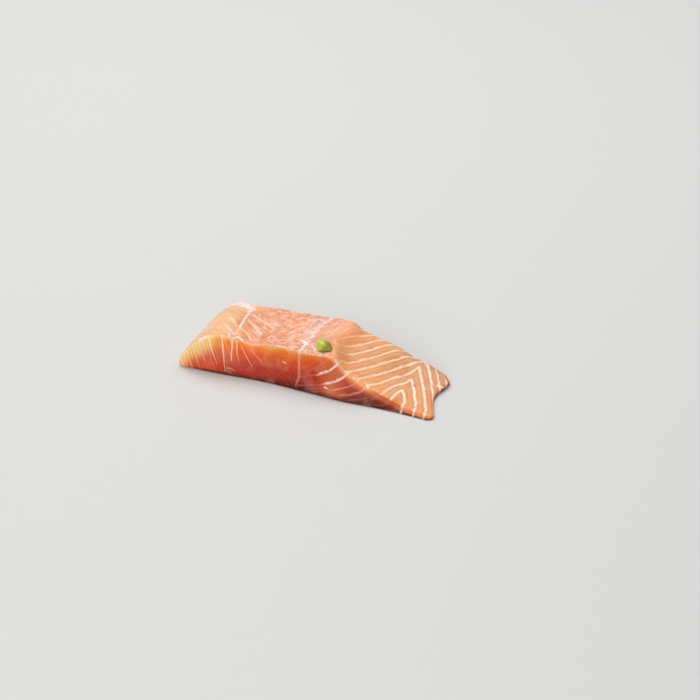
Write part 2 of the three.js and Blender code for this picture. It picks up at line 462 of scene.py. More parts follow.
@dataclass(frozen=True)
class MuscleSheets:
    """The nested sheets of muscle, as a phase that is a whole number on each fat line.

    Between the midline and the back end the sheets slope one way, towards the belly they
    slope the other way, and at the fold they turn back. Below the top they run on as arcs
    towards the midline. The skinned side shows them as a row of chevrons.
    """

    form: PortionForm
    middle: float = 20.0  # distance across about which the midline and the fold lean
    midline: float = 79.0
    midline_lean: float = 0.06

    belly_pitch: float = 6.4
    belly_start: float = 80.2
    belly_slope: tuple[float, float] = (0.45, 0.0042)  # for each mm and squared mm across
    belly_bend: Shape = (13, 39, 2.2)  # a slope across
    bend_ends: Span = (135, 142)
    belly_swell: Shape = (112, 22, 1.5)  # a round hump: along, across, height
    swell_half_width: float = 8.0
    arc_reach: float = 1.45
    arc_power: float = 2.2
    arc_rounds: int = 24
    arc_damping: float = 0.25
    arcs_end: Span = (125, 145)

    fold: float = 140.0
    fold_lean: float = 0.05
    fold_round: float = 0.3
    arm_shift: float = 0.9  # how much later the lines just before the fold come
    arms_begin: Span = (120, 131)
    arms_end: Span = (136, 142)
    legs_begin: Span = (137, 143)
    leg_turn: tuple[float, float] = (1.5, 0.006)  # steepness, and how it eases for each mm across
    leg_slant: float = 0.6  # how far the lines beyond the fold lean back down the cut
    rim_pull: float = 3.0
    rim_pull_begins: Span = (124, 134)
    rim_pull_eases: Shape = (137, 145, 0.6)  # a slope along
    arm_rim: Span = (-2, 12)  # distances across over which the pull dies out before the fold
    leg_rim: Span = (0, 4.5)  # and beyond it

    back_slope: tuple[float, float] = (1.2, 0.022)
    back_pitch: float = 5.0
    back_start: float = 0.8
    back_dip: tuple[float, float] = (0.15, 0.75)  # for each mm of depth: least, and more
    back_dip_grows: Span = (30, 54)

    brush_climb: Stations = ((0, -0.7), (42, -0.65), (62, 0.3), (84, 1.5), (163, 1.6))
    brush_steps: int = 200
    skin_pitch: float = 8.5
    skin_rise: float = 0.95
    skin_turn: float = 38.0  # from the midline
    skin_turn_round: float = 4.0

    def is_belly(self, points: BlockPoints) -> Array:
        """True on the belly's side of the midline."""
        x, y, _ = points.xyz.T
        return x > self.midline + self.midline_lean * (y - self.middle)

    def edge_reached(self, points: BlockPoints) -> Array:
        """Follows each belly arc up to the top.

        An arc leaves the top steeply and flattens towards the midline. It moves back by
        arc_reach times its drop to the power of arc_power, divided by the thickness where it
        leaves the top. A damped iteration finds that place, and on the top itself it is along.

        Args:
            points: Points of the portion.

        Returns:
            Distances along at which their arcs reach the top.
        """
        t = points.across / self.form.width
        edge = points.along.copy()
        for _ in range(self.arc_rounds):
            tall = self.form.thickness(edge, t)
            drop = np.maximum(tall - points.up, 0)
            reached = points.along + self.arc_reach * drop**self.arc_power / tall
            edge += self.arc_damping * (reached - edge)
        return edge

    def belly_place(self, points: BlockPoints) -> Array:
        """Distance along, in mm, that is the same all over one belly sheet.

        It is x, turned back beyond the fold and moved on by the arcs, less a quadratic of y.
        A bend, a swell, a pull near the rim and a shift of the arms move single stretches.

        Args:
            points: Points of the portion.

        Returns:
            The distances.
        """
        x, y, _ = points.xyz.T
        past = soft_positive(x - self.fold - self.fold_lean * (y - self.middle), self.fold_round)
        arc = (self.edge_reached(points) - points.along) * (1 - smooth(x, *self.arcs_end))
        steep, easing = self.leg_turn
        y_turned = y + (steep - easing * y) * past
        straight, bent = self.belly_slope
        climb = straight * y_turned + bent * y_turned**2
        bend = slope_of(self.belly_bend, y) * (1 - smooth(x, *self.bend_ends))
        swell_x, swell_y, height = self.belly_swell
        swell = height * hump(swell_x, self.swell_half_width, x)
        swell = swell * hump(swell_y, self.swell_half_width, y)
        legs = smooth(x, *self.legs_begin)
        near, far = (lerp(arm, leg, legs) for arm, leg in zip(self.arm_rim, self.leg_rim))
        pull = self.rim_pull * (1 - smooth(points.across, near, far))
        pull = pull * smooth(x, *self.rim_pull_begins) * (1 - slope_of(self.rim_pull_eases, x))
        shift = self.arm_shift * between(x, self.arms_begin, self.arms_end)
        slant = self.leg_slant * points.depth * legs
        return x - past + arc - slant - climb - bend + swell - pull - shift

    def back_place(self, points: BlockPoints) -> Array:
        """Distance along, in mm, that is the same all over one sheet of the back.

        It is x and a quadratic of y, less the dip below the top.

        Args:
            points: Points of the portion.

        Returns:
            The distances.
        """
        x, y, _ = points.xyz.T
        straight, bent = self.back_slope
        least, more = self.back_dip
        dip = points.depth * (least + more * smooth(x, *self.back_dip_grows))
        return x + straight * y + bent * y**2 - dip

    def brushed(self, points: BlockPoints) -> Array:
        """Distance across the strokes of the membrane.

        It is y less the sum of the strokes' steepness over x. The strokes run forward at
        the back, along the portion in the middle of the loin, and with the belly's sheets
        beyond it.

        Args:
            points: Points of the portion.

        Returns:
            The distances in mm.
        """
        x, y, _ = points.xyz.T
        steps = np.linspace(0, self.form.length, self.brush_steps)
        climb = through(self.brush_climb, steps)
        return y - np.interp(x, steps, np.cumsum(climb) * (steps[1] - steps[0]))

    def phase(self, points: BlockPoints) -> Array:
        """Phase on the cuts and the top.

        Args:
            points: Points of the portion.

        Returns:
            The phase.
        """
        belly = 1 + (self.belly_place(points) - self.belly_start) / self.belly_pitch
        back = (self.back_place(points) - self.back_start) / self.back_pitch
        return np.where(self.is_belly(points), belly, back)

    def skin_phase(self, points: BlockPoints) -> Array:
        """Phase on the skinned underside: chevrons that point at the midline and turn twice.

        Args:
            points: Points of the portion.

        Returns:
            The phase.
        """
        x, y, _ = points.xyz.T
        from_midline = np.abs(x - self.midline)
        outer = soft_positive(from_midline - self.skin_turn, self.skin_turn_round)
        return (y + self.skin_rise * (from_midline - 2 * outer)) / self.skin_pitch


# ---- Shader arithmetic ----


class Signal:
    """An output socket. Arithmetic on it adds Math nodes."""

    def __init__(self, shader: "Shader", socket: bpy.types.NodeSocket) -> None:
        """Wraps a socket of a shader's tree."""
        self.shader = shader
        self.socket = socket

    def _math(self, operation: str, *values: "Signal | float") -> "Signal":
        """Adds one Math node."""
        node = self.shader.node("ShaderNodeMath", {"operation": operation}, dict(enumerate(values)))
        return Signal(self.shader, node.outputs[0])

    def __add__(self, other: "Signal | float") -> "Signal":
        """self + other."""
        return self._math("ADD", self, other)

    def __radd__(self, other: "Signal | float") -> "Signal":
        """other + self."""
        return self._math("ADD", other, self)

    def __sub__(self, other: "Signal | float") -> "Signal":
        """self - other."""
        return self._math("SUBTRACT", self, other)

    def __rsub__(self, other: "Signal | float") -> "Signal":
        """other - self."""
        return self._math("SUBTRACT", other, self)

    def __mul__(self, other: "Signal | float") -> "Signal":
        """self * other."""
        return self._math("MULTIPLY", self, other)

    def __rmul__(self, other: "Signal | float") -> "Signal":
        """other * self."""
        return self._math("MULTIPLY", other, self)

    def __truediv__(self, other: "Signal | float") -> "Signal":
        """self / other."""
        return self._math("DIVIDE", self, other)

    def __rtruediv__(self, other: "Signal | float") -> "Signal":
        """other / self."""
        return self._math("DIVIDE", other, self)

    def __abs__(self) -> "Signal":
        """Size of self."""
        return self._math("ABSOLUTE", self)

    def rounded(self) -> "Signal":
        """Nearest whole number."""
        return self._math("ROUND", self)

    def at_least(self, other: "Signal | float") -> "Signal":
        """The larger of self and other."""
        return self._math("MAXIMUM", self, other)

    def at_most(self, other: "Signal | float") -> "Signal":
        """The smaller of self and other."""
        return self._math("MINIMUM", self, other)

    def held(self) -> "Signal":
        """Self held to 0 and 1."""
        node = self.shader.node("ShaderNodeClamp", values={"Value": self})
        return Signal(self.shader, node.outputs[0])

    def rise(self, low: "Signal | float", high: "Signal | float") -> "Signal":
        """Smooth rise from 0 at low to 1 at high, or a fall where low is above high.

        Args:
            low: Value that gives 0.
            high: Value that gives 1.

        Returns:
            The share.
        """
        node = self.shader.node(
            "ShaderNodeMapRange", {"interpolation_type": "SMOOTHSTEP"},
            {"Value": self, "From Min": low, "From Max": high},
        )
        return Signal(self.shader, node.outputs[0])


Input = Signal | float | tuple


class Shader:
    """A material's node tree under construction."""

    MIX_COLOURS = {"factor": 0, "a": 6, "b": 7, "result": 2}

    def __init__(self, name: str) -> None:
        """Starts an empty material.

        Args:
            name: Name of the material.
        """
        self.material = bpy.data.materials.new(name)
        self.material.use_nodes = True
        self.tree = self.material.node_tree
        self.tree.nodes.clear()

    def node(
        self, kind: str, settings: dict | None = None, values: dict | None = None
    ) -> bpy.types.Node:
        """Adds a node.

        Args:
            kind: Blender's name of the node type.
            settings: Properties, set first.
            values: Values or links of its sockets, by name or number.

        Returns:
            The node.
        """
        node = self.tree.nodes.new(kind)
        for key, value in (settings or {}).items():
            setattr(node, key, value)
        for key, value in (values or {}).items():
            if isinstance(value, Signal):
                self.tree.links.new(value.socket, node.inputs[key])
            else:
                node.inputs[key].default_value = value
        return node

    def vector_attribute(self, name: str) -> Signal:
        """A vertex attribute as a vector."""
        node = self.node("ShaderNodeAttribute", {"attribute_name": name})
        return Signal(self, node.outputs["Vector"])

    def attribute(self, name: str) -> tuple[Signal, Signal, Signal]:
        """The three numbers of a vertex attribute."""
        split = self.node("ShaderNodeSeparateXYZ", values={0: self.vector_attribute(name)})
        return tuple(Signal(self, split.outputs[k]) for k in range(3))

    def colour_attribute(self, name: str) -> Signal:
        """A vertex attribute as a colour."""
        node = self.node("ShaderNodeAttribute", {"attribute_name": name})
        return Signal(self, node.outputs["Color"])

    def place_mm(self) -> Signal:
        """Object coordinates in millimetres."""
        metres = Signal(self, self.node("ShaderNodeTexCoord").outputs["Object"])
        return self.vector_math("MULTIPLY", metres, (1 / MM, 1 / MM, 1 / MM))

    def vector_math(self, operation: str, *values: Input) -> Signal:
        """Adds one Vector Math node."""
        node = self.node("ShaderNodeVectorMath", {"operation": operation}, dict(enumerate(values)))
        return Signal(self, node.outputs["Vector"])

    def vector(self, x: Input, y: Input, z: Input) -> Signal:
        """A vector from three numbers."""
        node = self.node("ShaderNodeCombineXYZ", values={0: x, 1: y, 2: z})
        return Signal(self, node.outputs[0])

    def mix(self, factor: Input, a: Input, b: Input) -> Signal:
        """Colour a turned into b by a factor.

        Args:
            factor: 0 for a and 1 for b, and held to them.
            a: A colour.
            b: Another colour.

        Returns:
            The mixed colour.
        """
        slots = self.MIX_COLOURS
        values = {slots["factor"]: factor, slots["a"]: self.opaque(a), slots["b"]: self.opaque(b)}
        node = self.node("ShaderNodeMix", {"data_type": "RGBA", "clamp_factor": True}, values)
        return Signal(self, node.outputs[slots["result"]])

    @staticmethod
    def opaque(colour: Input) -> Input:
        """A colour given as numbers with its alpha added, or a signal as it is."""
        return (*colour, 1.0) if isinstance(colour, tuple) else colour

    def bump(self, height_mm: Signal, strength: float) -> Signal:
        """A normal from a height in millimetres.

        Args:
            height_mm: The height.
            strength: Share of the height that counts.

        Returns:
            The normal.
        """
        values = {"Height": height_mm, "Distance": MM, "Strength": strength}
        node = self.node("ShaderNodeBump", values=values)
        return Signal(self, node.outputs["Normal"])

    def finish(self, values: dict) -> bpy.types.Material:
        """Adds the surface shader with its sockets' values, and returns the material.

        Args:
            values: Values or links of the surface shader's sockets.

        Returns:
            The material.
        """
        surface = self.node("ShaderNodeBsdfPrincipled", values=values)
        output = self.node("ShaderNodeOutputMaterial")
        self.tree.links.new(surface.outputs[0], output.inputs["Surface"])
        return self.material


@dataclass(frozen=True)
class Speckle:
    """Soft noise, and the patches where it is high."""

    size: float  # of a patch
    detail: float = 2
    warp: float = 0
    edge: Span = (0.0, 1.0)  # the noise outside the patches and inside them
    middle: float = 0.5
    thread: float = 0.05  # how far the noise may be from its middle on a thread
    amount: float = 1.0  # how much it counts where it is used

    def noise(self, shader: Shader, vector: Signal) -> Signal:
        """The noise, around its middle.

        Args:
            shader: The shader under construction.
            vector: Where to read it.

        Returns:
            The noise.
        """
        values = {
            "Vector": vector, "Scale": 1 / self.size,
            "Detail": self.detail, "Distortion": self.warp,
        }
        return Signal(shader, shader.node("ShaderNodeTexNoise", values=values).outputs[0])

    def around(self, shader: Shader, vector: Signal) -> Signal:
        """The noise, around 0."""
        return self.noise(shader, vector) - self.middle

    def patches(self, shader: Shader, vector: Signal) -> Signal:
        """0 outside the patches and 1 inside them."""
        return self.noise(shader, vector).rise(*self.edge)

    def threads(self, shader: Shader, vector: Signal) -> Signal:
        """1 on the thin lines where the noise passes through its middle, and 0 off them."""
        return 1 - abs(self.around(shader, vector)).rise(0.0, self.thread)


# ---- Meshes ----


def grid_object(
    name: str, xyz_mm: Array, squares: Array, vectors: dict[str, Array], colours: dict[str, Array]
) -> bpy.types.Object:
    """Makes a smooth mesh object.

    Args:
        name: Name of the object.
        xyz_mm: Vertex places in the row frame, in mm.
        squares: Vertex numbers of the four-sided faces, outward.
        vectors: Vertex attributes of three numbers each.
        colours: Vertex attributes that are colours.

    Returns:
        The object, at the origin.
    """
    mesh = bpy.data.meshes.new(name)
    mesh.vertices.add(len(xyz_mm))
    mesh.vertices.foreach_set("co", (xyz_mm * MM).astype(np.float32).ravel())
    mesh.loops.add(squares.size)
    mesh.loops.foreach_set("vertex_index", squares.astype(np.int32).ravel())
    mesh.polygons.add(len(squares))
    mesh.polygons.foreach_set("loop_start", np.arange(0, squares.size, 4, dtype=np.int32))
    mesh.update(calc_edges=True)
    mesh.validate()
    mesh.shade_smooth()
    for label, values in vectors.items():
        layer = mesh.attributes.new(label, "FLOAT_VECTOR", "POINT")
        layer.data.foreach_set("vector", values.astype(np.float32).ravel())
    for label, values in colours.items():
        layer = mesh.attributes.new(label, "FLOAT_COLOR", "POINT")
        opaque = np.concatenate([values, np.ones((len(values), 1))], 1)
        layer.data.foreach_set("color", opaque.astype(np.float32).ravel())
    piece = bpy.data.objects.new(name, mesh)
    bpy.context.scene.collection.objects.link(piece)
    return piece


# ---- The fillet ----


@dataclass(frozen=True)
class FleshColours:
    """Colours of the flesh, as display colours from 0 to 255."""

    loin: Colour = (218, 132, 82)
    belly: Colour = (230, 158, 100)
    slope: Colour = (240, 182, 124)
    # Painted glow: the yellow rim of the cuts is partly their own colour, partly light shining
    # through the thin edge.
    rim: Colour = (246, 166, 80)
    belly_rim: Colour = (240, 182, 114)
    end_rim: Colour = (186, 74, 32)
    tail_rim: Colour = (208, 114, 62)
    tail_gold: Colour = (226, 138, 60)
    upper: Colour = (240, 120, 44)
    cut: Colour = (220, 80, 36)
    # Partly the flesh's own deep red, partly painted shade low on the cuts.
    deep: Colour = (174, 44, 30)
    # Painted shade: the dark foot of the cuts, mostly shade, partly the darker flesh by the skin.
    foot: Colour = (78, 14, 10)
    # The tip's yellows: partly the flesh's own colour, partly painted light through the thin back
    # end.
    tip: Colour = (255, 204, 122)
    tip_gold: Colour = (252, 182, 66)
    cream: Colour = (255, 226, 150)
    amber: Colour = (246, 132, 40)
    tip_cut: Colour = (226, 98, 54)
    belly_cut: Colour = (212, 106, 66)
    # Partly the belly's own deep red, partly painted shade low on its cut.
    belly_deep: Colour = (178, 48, 20)
    haze: Colour = (214, 116, 96)
    gold: Colour = (244, 180, 100)
    silver: Colour = (214, 184, 168)
    dark_band: Colour = (128, 66, 48)

    def of(self, name: str) -> Array:
        """One of the colours, scene-linear."""
        return np.array(linear(*getattr(self, name)))


@dataclass(frozen=True)
class Ground:
    """What the flesh's colours depend on, one row a vertex."""

    along: Array
    up: Array
    tall: Array
    true_depth: Array  # below the top, made uneven by noise
    depth: Array  # the same, counted more slowly towards the back end
    edge: Array  # distance from the top's rim, positive on the top
    uneven: Array


@dataclass(frozen=True)
class Wash:
    """A colour laid over the ones below it, on a stretch of the flesh.

    Each span that is given narrows the stretch. It runs from where the wash is 0 to where it
    is full, so its larger number comes first where the wash dies out.
    """

    colour: str
    amount: float = 1.0
    along: Span | None = None
    around: Hump | None = None  # a hump along
    eases: Shape | None = None  # a slope along that takes a share away
    depth: Span | None = None
    sooner: Shape | None = None  # a slope along that counts as more depth
    true_depth: Span | None = None
    down_to: Span | None = None  # a second span of the true depth
    edge: Span | None = None
    ragged: float = 0.0  # how far noise moves the places along, in mm

    def share(self, ground: Ground) -> Array:
        """How much of the colour there is: the product of the amount and all the spans.

        Args:
            ground: What the colours depend on.

        Returns:
            The share, one row a vertex.
        """
        x = ground.along + self.ragged * ground.uneven
        depth = ground.depth + (slope_of(self.sooner, x) if self.sooner else 0)
        share = np.full_like(x, self.amount)
        for span, value in (
            (self.along, x), (self.depth, depth), (self.true_depth, ground.true_depth),
            (self.down_to, ground.true_depth), (self.edge, ground.edge),
        ):
            if span:
                share = share * smooth(value, *span)
        if self.around:
            share = share * hump(*self.around, x)
        if self.eases:
            share = share * (1 - slope_of(self.eases, x))
        return share


@dataclass(frozen=True)
class FleshTints:
    """Base colours of the flesh without its lines: washes laid over each other in order.

    The top has a peach slope, a pink loin and an orange belly, with painted light on the
    belly's shoulder. The cuts are yellow at the upper rim, partly their own colour and partly
    a painted glow of light through the thin edge. Below it they are orange and deepen to red,
    partly painted shade. Their tip, at the back end, stays yellow further down, partly as
    painted light through the thin end, and their foot is dark, mostly painted shade. The
    underside is silver with a dark band.
    """

    colours: FleshColours = field(default_factory=FleshColours)
    waves: Waves = field(default_factory=lambda: Waves(11, 16.0))
    depth_uneven: float = 0.5
    slow_depth: Shape = (24, 50, 0.45)  # a slope along
    shade_range: tuple[float, float] = (0.95, 0.06)  # of the sheets: middle and reach
    shade_draw: tuple[float, float] = (12.9898, 4.1)

    on_top: tuple[Wash, ...] = (
        Wash("belly", along=(84, 104), ragged=3),
        Wash("slope", along=(44, 24), ragged=2),
    )
    # Painted light: the top is lifted and warmed on the belly's shoulder, where it slopes away from
    # the lamps.
    shoulder: Hump = (106, 8)
    shoulder_painted_light: Colour = (0.14, 0.05, 0.0)
    belly_shade: Shape = (124, 138, 0.1)
    on_top_rim: tuple[Wash, ...] = (
        Wash("gold", 0.6, around=(121, 10), edge=(6, 0.5)),
        Wash("tail_gold", 0.55, along=(128, 136), edge=(5.5, 1)),
    )

    on_cuts: tuple[Wash, ...] = (
        Wash("belly_rim", along=(94, 108)),
        Wash("end_rim", along=(119, 133)),
        Wash("tail_rim", along=(136, 147)),
        Wash("upper", depth=(0.2, 3.0)),
        Wash("cut", depth=(2.0, 7.0)),
        # Deeper down, the red is partly the flesh's own colour, partly painted shade.
        Wash("deep", depth=(6.0, 15.0)),
        Wash("amber", 0.85, along=(46, 30), true_depth=(14, 6)),
        Wash("tip_cut", 0.7, along=(32, 20), true_depth=(6, 12)),
    )
    # Where the tip's yellow lies: partly painted light through the thin back end.
    tip: Span = (32, 20)
    tip_golden: Wash = Wash("tip_gold", 0.7, around=(26, 6), true_depth=(0.5, 3))
    tip_foot: float = 12.0  # depth at which the tip's colour has died out
    tip_foot_changes: tuple[Shape, ...] = ((8, 14, 3), (16, 30, -5))  # slopes along
    tip_full: float = 0.25  # share of that depth down to which it is full
    haze: Wash = Wash("haze", 0.35, around=(35, 11), true_depth=(7, 11), down_to=(20, 15))
    glow: Hump = (59, 9)
    glow_depth: Span = (0, 2)
    glow_colour: Colour = (0.02, 0.4, 0.25)
    over_cuts: tuple[Wash, ...] = (
        Wash("cream", 0.8, along=(40, 28), true_depth=(4.5, 0.6)),
        Wash("belly_cut", along=(88, 100), depth=(0.6, 4.0)),
        # Low on the belly's cut: partly its own red, partly painted shade.
        Wash(
            "belly_deep", along=(100, 112), eases=(136, 147, 0.7),
            depth=(2.6, 5.4), sooner=(114, 130, 1.4),
        ),
    )
    # The dark foot of the cuts: mostly painted shade, partly the darker flesh by the skin.
    foot_begins: Span = (2, 20)
    foot_dark: float = 0.6  # height up to which the foot is darkest
    foot_reach: float = 3.4  # height at which it ends
    foot_hump: Shape = (76, 18, 4.6)
    foot_slope: Shape = (104, 118, 6.0)
    foot_most: tuple[float, float] = (1.5, 2.0)  # for each mm of thickness, less this
    foot_least: float = 0.9
    midline_band: Wash = Wash("dark_band", 0.85, around=(79, 9), ragged=2)

    def ground(self, points: BlockPoints, sides: Sides) -> Ground:
        """Works out what the colours depend on.

        Args:
            points: Points of the portion.
            sides: Sides that they belong to.

        Returns:
            The ground, one row a vertex.
        """
        x = points.along[:, None]
        uneven = self.waves.at(points.xyz)[:, None]
        true_depth = points.depth[:, None] + self.depth_uneven * uneven
        depth = true_depth * (1 - self.slow_depth[2] + slope_of(self.slow_depth, x))
        up, tall, edge = points.up[:, None], points.tall[:, None], sides.edge[:, None]
        return Ground(x, up, tall, true_depth, depth, edge, uneven)

    def wash(self, below: Array, washes: tuple[Wash, ...], ground: Ground) -> Array:
        """Lays washes over a colour.

        Args:
            below: The colour.
            washes: The washes, in order.
            ground: What they depend on.

        Returns:
            The new colour, one row a vertex.
        """
        for wash in washes:
            below = lerp(below, self.colours.of(wash.colour), wash.share(ground))
        return below

    def sheet_shade(self, phase: Array) -> Array:
        """A shade that differs a little from sheet to sheet."""
        middle, reach = self.shade_range
        return middle + reach * varied(np.floor(phase), *self.shade_draw)[:, None]

    def top(self, ground: Ground, phase: Array) -> Array:
        """Colour of the top, linear, one row a vertex.

        Args:
            ground: What the colours depend on.
            phase: Phase of the muscle sheets.

        Returns:
            Linear colours, one row a vertex.
        """
        x = ground.along
        top = self.wash(self.colours.of("loin"), self.on_top, ground)
        # Painted light on the belly's shoulder.
        top = top * (1 + hump(*self.shoulder, x) * np.array(self.shoulder_painted_light))
        top = top * (1 - slope_of(self.belly_shade, x))
        return self.wash(top, self.on_top_rim, ground) * self.sheet_shade(phase)

    def tip_washed(self, cut: Array, ground: Ground) -> Array:
        """Lays the tip's yellow over the cuts, down to a depth that differs along. The yellow is
        partly painted light through the thin back end.

        Args:
            cut: Colour of the cuts.
            ground: What the colours depend on.

        Returns:
            The new colour, one row a vertex.
        """
        changes = sum(slope_of(change, ground.along) for change in self.tip_foot_changes)
        foot = self.tip_foot + changes
        share = 1 - smooth(ground.true_depth, self.tip_full * foot, foot)
        yellow = self.wash(self.colours.of("tip"), (self.tip_golden,), ground)
        return lerp(cut, yellow, smooth(ground.along, *self.tip) * share)

    def painted_foot_shade(self, ground: Ground) -> Array:
        """Share of the painted shade at the foot. It stays low where the portion is thin.

        Args:
            ground: What the colours depend on.

        Returns:
            The share, one row a vertex.
        """
        x = ground.along
        reach = self.foot_reach + hump_of(self.foot_hump, x) + slope_of(self.foot_slope, x)
        scale, less = self.foot_most
        reach = np.minimum(reach, np.maximum(scale * ground.tall - less, self.foot_least))
        return (1 - smooth(ground.up, self.foot_dark, reach)) * smooth(x, *self.foot_begins)

    def cuts(self, ground: Ground, phase: Array, under: Array) -> Array:
        """Colour of the cuts and the underside.

        Args:
            ground: What the colours depend on.
            phase: Phase of the muscle sheets.
            under: Share of the underside.

        Returns:
            Linear colours, one row a vertex.
        """
        # The cuts start from the yellow rim, partly a painted glow of light through the thin edge.
        cut = self.wash(self.colours.of("rim"), self.on_cuts, ground)
        cut = self.wash(self.tip_washed(cut, ground), (self.haze,), ground)
        glow = hump(*self.glow, ground.along) * smooth(ground.depth, *self.glow_depth)
        cut = cut * (1 + glow * np.array(self.glow_colour))
        cut = self.wash(cut, self.over_cuts, ground)
        # Painted shade at the foot of the cuts.
        cut = lerp(cut, self.colours.of("foot"), self.painted_foot_shade(ground))
        skin = self.wash(self.colours.of("silver"), (self.midline_band,), ground)
        return lerp(cut * self.sheet_shade(phase), skin, under[:, None])


@dataclass(frozen=True)
class FatLines:
    """How strongly the fat lines show, 0 to 1.

    On the front cut the belly's first two arcs are strong near the top, and the rest are
    faint. The back's lines differ by their number.
    """

    belly_top: float = 0.08
    belly_top_grows: tuple[Shape, ...] = ((99, 110, 0.66), (130, 142, 0.25))  # slopes along
    back_top: tuple[float, float] = (0.03, 0.16)  # of the odd and the even lines
    back_top_fades: Shape = (44, 60, 0.6)
    arcs: Stations = (
        (84, 0.03), (98, 0.06), (100, 0.8), (111, 0.72), (113, 0.24), (122, 0.24), (126, 0.05),
        (141, 0.05), (145, 0.5), (163, 0.55),
    )  # on the cuts, by where they reach the top
    arcs_fade: Shape = (8, 14, 0.9)  # a slope over how far they have run from there
    back_cut: tuple[float, float] = (0.12, 0.37)  # of the weakest and the strongest line
    back_cut_draw: tuple[float, float] = (7.13, 0.6)
    back_cut_until: Span = (40, 26)
    back_cut_down_to: Span = (20, 10)
    back_cut_least: float = 0.02
    under: float = 0.35
    lesser_tip: float = 0.4
    lesser_tip_until: Span = (30, 18)
    lesser_tip_down_to: Span = (14, 6)
    lesser_tip_veiled: float = 0.8  # share that the top takes away
    lesser_belly: Shape = (100, 112, 0.14)  # a slope along

    def strength(
        self, sheets: MuscleSheets, points: BlockPoints, sides: Sides, phase: Array
    ) -> Array:
        """Strength of the lines between the sheets.

        Args:
            sheets: The muscle sheets.
            points: Points of the portion.
            sides: Sides that the points belong to.
            phase: Phase of the muscle sheets.

        Returns:
            The strength at each vertex.
        """
        x, number = points.along, np.round(phase)
        belly = sheets.is_belly(points)
        belly_top = self.belly_top + sum(slope_of(rise, x) for rise in self.belly_top_grows)
        back_top = np.where(number % 2 == 0, self.back_top[1], self.back_top[0])
        top = np.where(belly, belly_top, back_top * (1 - slope_of(self.back_top_fades, x)))
        edge = sheets.edge_reached(points)
        arcs = through(self.arcs, edge) * (1 - slope_of(self.arcs_fade, edge - x))
        back = lerp(*self.back_cut, 0.5 + 0.5 * varied(number, *self.back_cut_draw))
        back = back * smooth(x, *self.back_cut_until) * smooth(points.depth, *self.back_cut_down_to)
        cuts = np.clip(sides.front + sides.rear + sides.ends, 0, 1)
        cuts = cuts * np.where(belly, arcs, back + self.back_cut_least)
        return np.clip(sides.top * top + cuts + self.under * sides.under, 0, 1)

    def lesser(self, points: BlockPoints, sides: Sides) -> Array:
        """Strength of the lesser lines half way between them.

        Args:
            points: Points of the portion.
            sides: Sides that they belong to.

        Returns:
            The strength at each vertex.
        """
        tip = self.lesser_tip * smooth(points.along, *self.lesser_tip_until)
        tip = tip * smooth(points.depth, *self.lesser_tip_down_to)
        tip = tip * (1 - self.lesser_tip_veiled * sides.top)
        belly = slope_of(self.lesser_belly, points.along)
        return (tip + belly * sides.top) * (1 - sides.under)


@dataclass(frozen=True)
class Membrane:
    """The pale membrane that veils the loin, thickest beside the midline."""

    loin: float = 0.8
    loin_begins: Span = (34, 48)
    loin_ends: Span = (92, 106)
    midline: Shape = (79, 9, 0.8)  # a hump along
    cap: Shape = (26, 9, 1.2)  # a hump along, at the rear of the back's hump
    cap_across: Span = (30, 44)
    slope: Shape = (44, 26, 0.3)  # a slope along
    most: float = 1.6

    def share(self, points: BlockPoints) -> Array:
        """Thickness of the membrane: 0 on bare flesh, 1 where it hides most of the flesh.

        Args:
            points: Points of the portion.

        Returns:
            The thickness at each vertex.
        """
        x = points.along
        loin = self.loin * between(x, self.loin_begins, self.loin_ends)
        cap = hump_of(self.cap, x) * smooth(points.across, *self.cap_across)
        share = loin + hump_of(self.midline, x) + cap + slope_of(self.slope, x)
        return np.clip(share, 0, self.most)


class Stain(Enum):
    """What a streak on the flesh is made of. The pale ones also carry painted glints."""

    SINEW = (253, 234, 232)
    FAT = (254, 220, 190)
    AMBER = (238, 150, 62)
    RED = (206, 84, 62)
    DARK = (120, 58, 34)

    @property
    def attribute(self) -> str:
        """Name of the vertex attribute that holds its streaks."""
        return f"streak_{self.name.lower()}"


@dataclass(frozen=True)
class Streak:
    """A tapered streak on the flesh, or a spot where its path is one place.

    Each place of the path is along, across and below the top of the straight block, then
    the streak's half width there.
    """

    stain: Stain
    strength: float
    path: tuple[tuple[float, float, float, float], ...]
    fade: float = 0.0  # share of the strength lost by the end of the path

    def distances(self, spot: Array) -> Array:
        """Distance from the path.

        For each stretch of the path, the nearest place on it is the start plus the share t of
        the reach, where t is the offset's dot product with the reach over its squared length,
        held to 0 and 1. The signed distance is negative on the path's right side.

        Args:
            spot: Places in the straight block, one row each.

        Returns:
            Signed distance, plain distance, half width and strength at the nearest stretch.
        """
        on_top = self.path[0][1] > self.path[0][2]
        normal = (0, 0, 1) if on_top else (0, 1, 0)
        found = []
        stretches = max(len(self.path) - 1, 1)
        for number, (start, end) in enumerate(zip(self.path, self.path[1:] or self.path)):
            reach = np.subtract(end[:3], start[:3])
            offset = spot - start[:3]
            t = np.clip(offset @ reach / max(reach @ reach, 1e-6), 0, 1)
            far = np.linalg.norm(offset - t[:, None] * reach, axis=1)
            side = np.where(offset @ np.cross(normal, reach) < 0, -1, 1)
            strength = self.strength * (1 - self.fade * (number + t) / stretches)
            found.append(np.stack([side * far, far, lerp(start[3], end[3], t), strength], -1))
        every = np.stack(found)
        nearest = np.argmin(every[..., 1] / every[..., 2], 0)
        return every[nearest, np.arange(len(spot))]


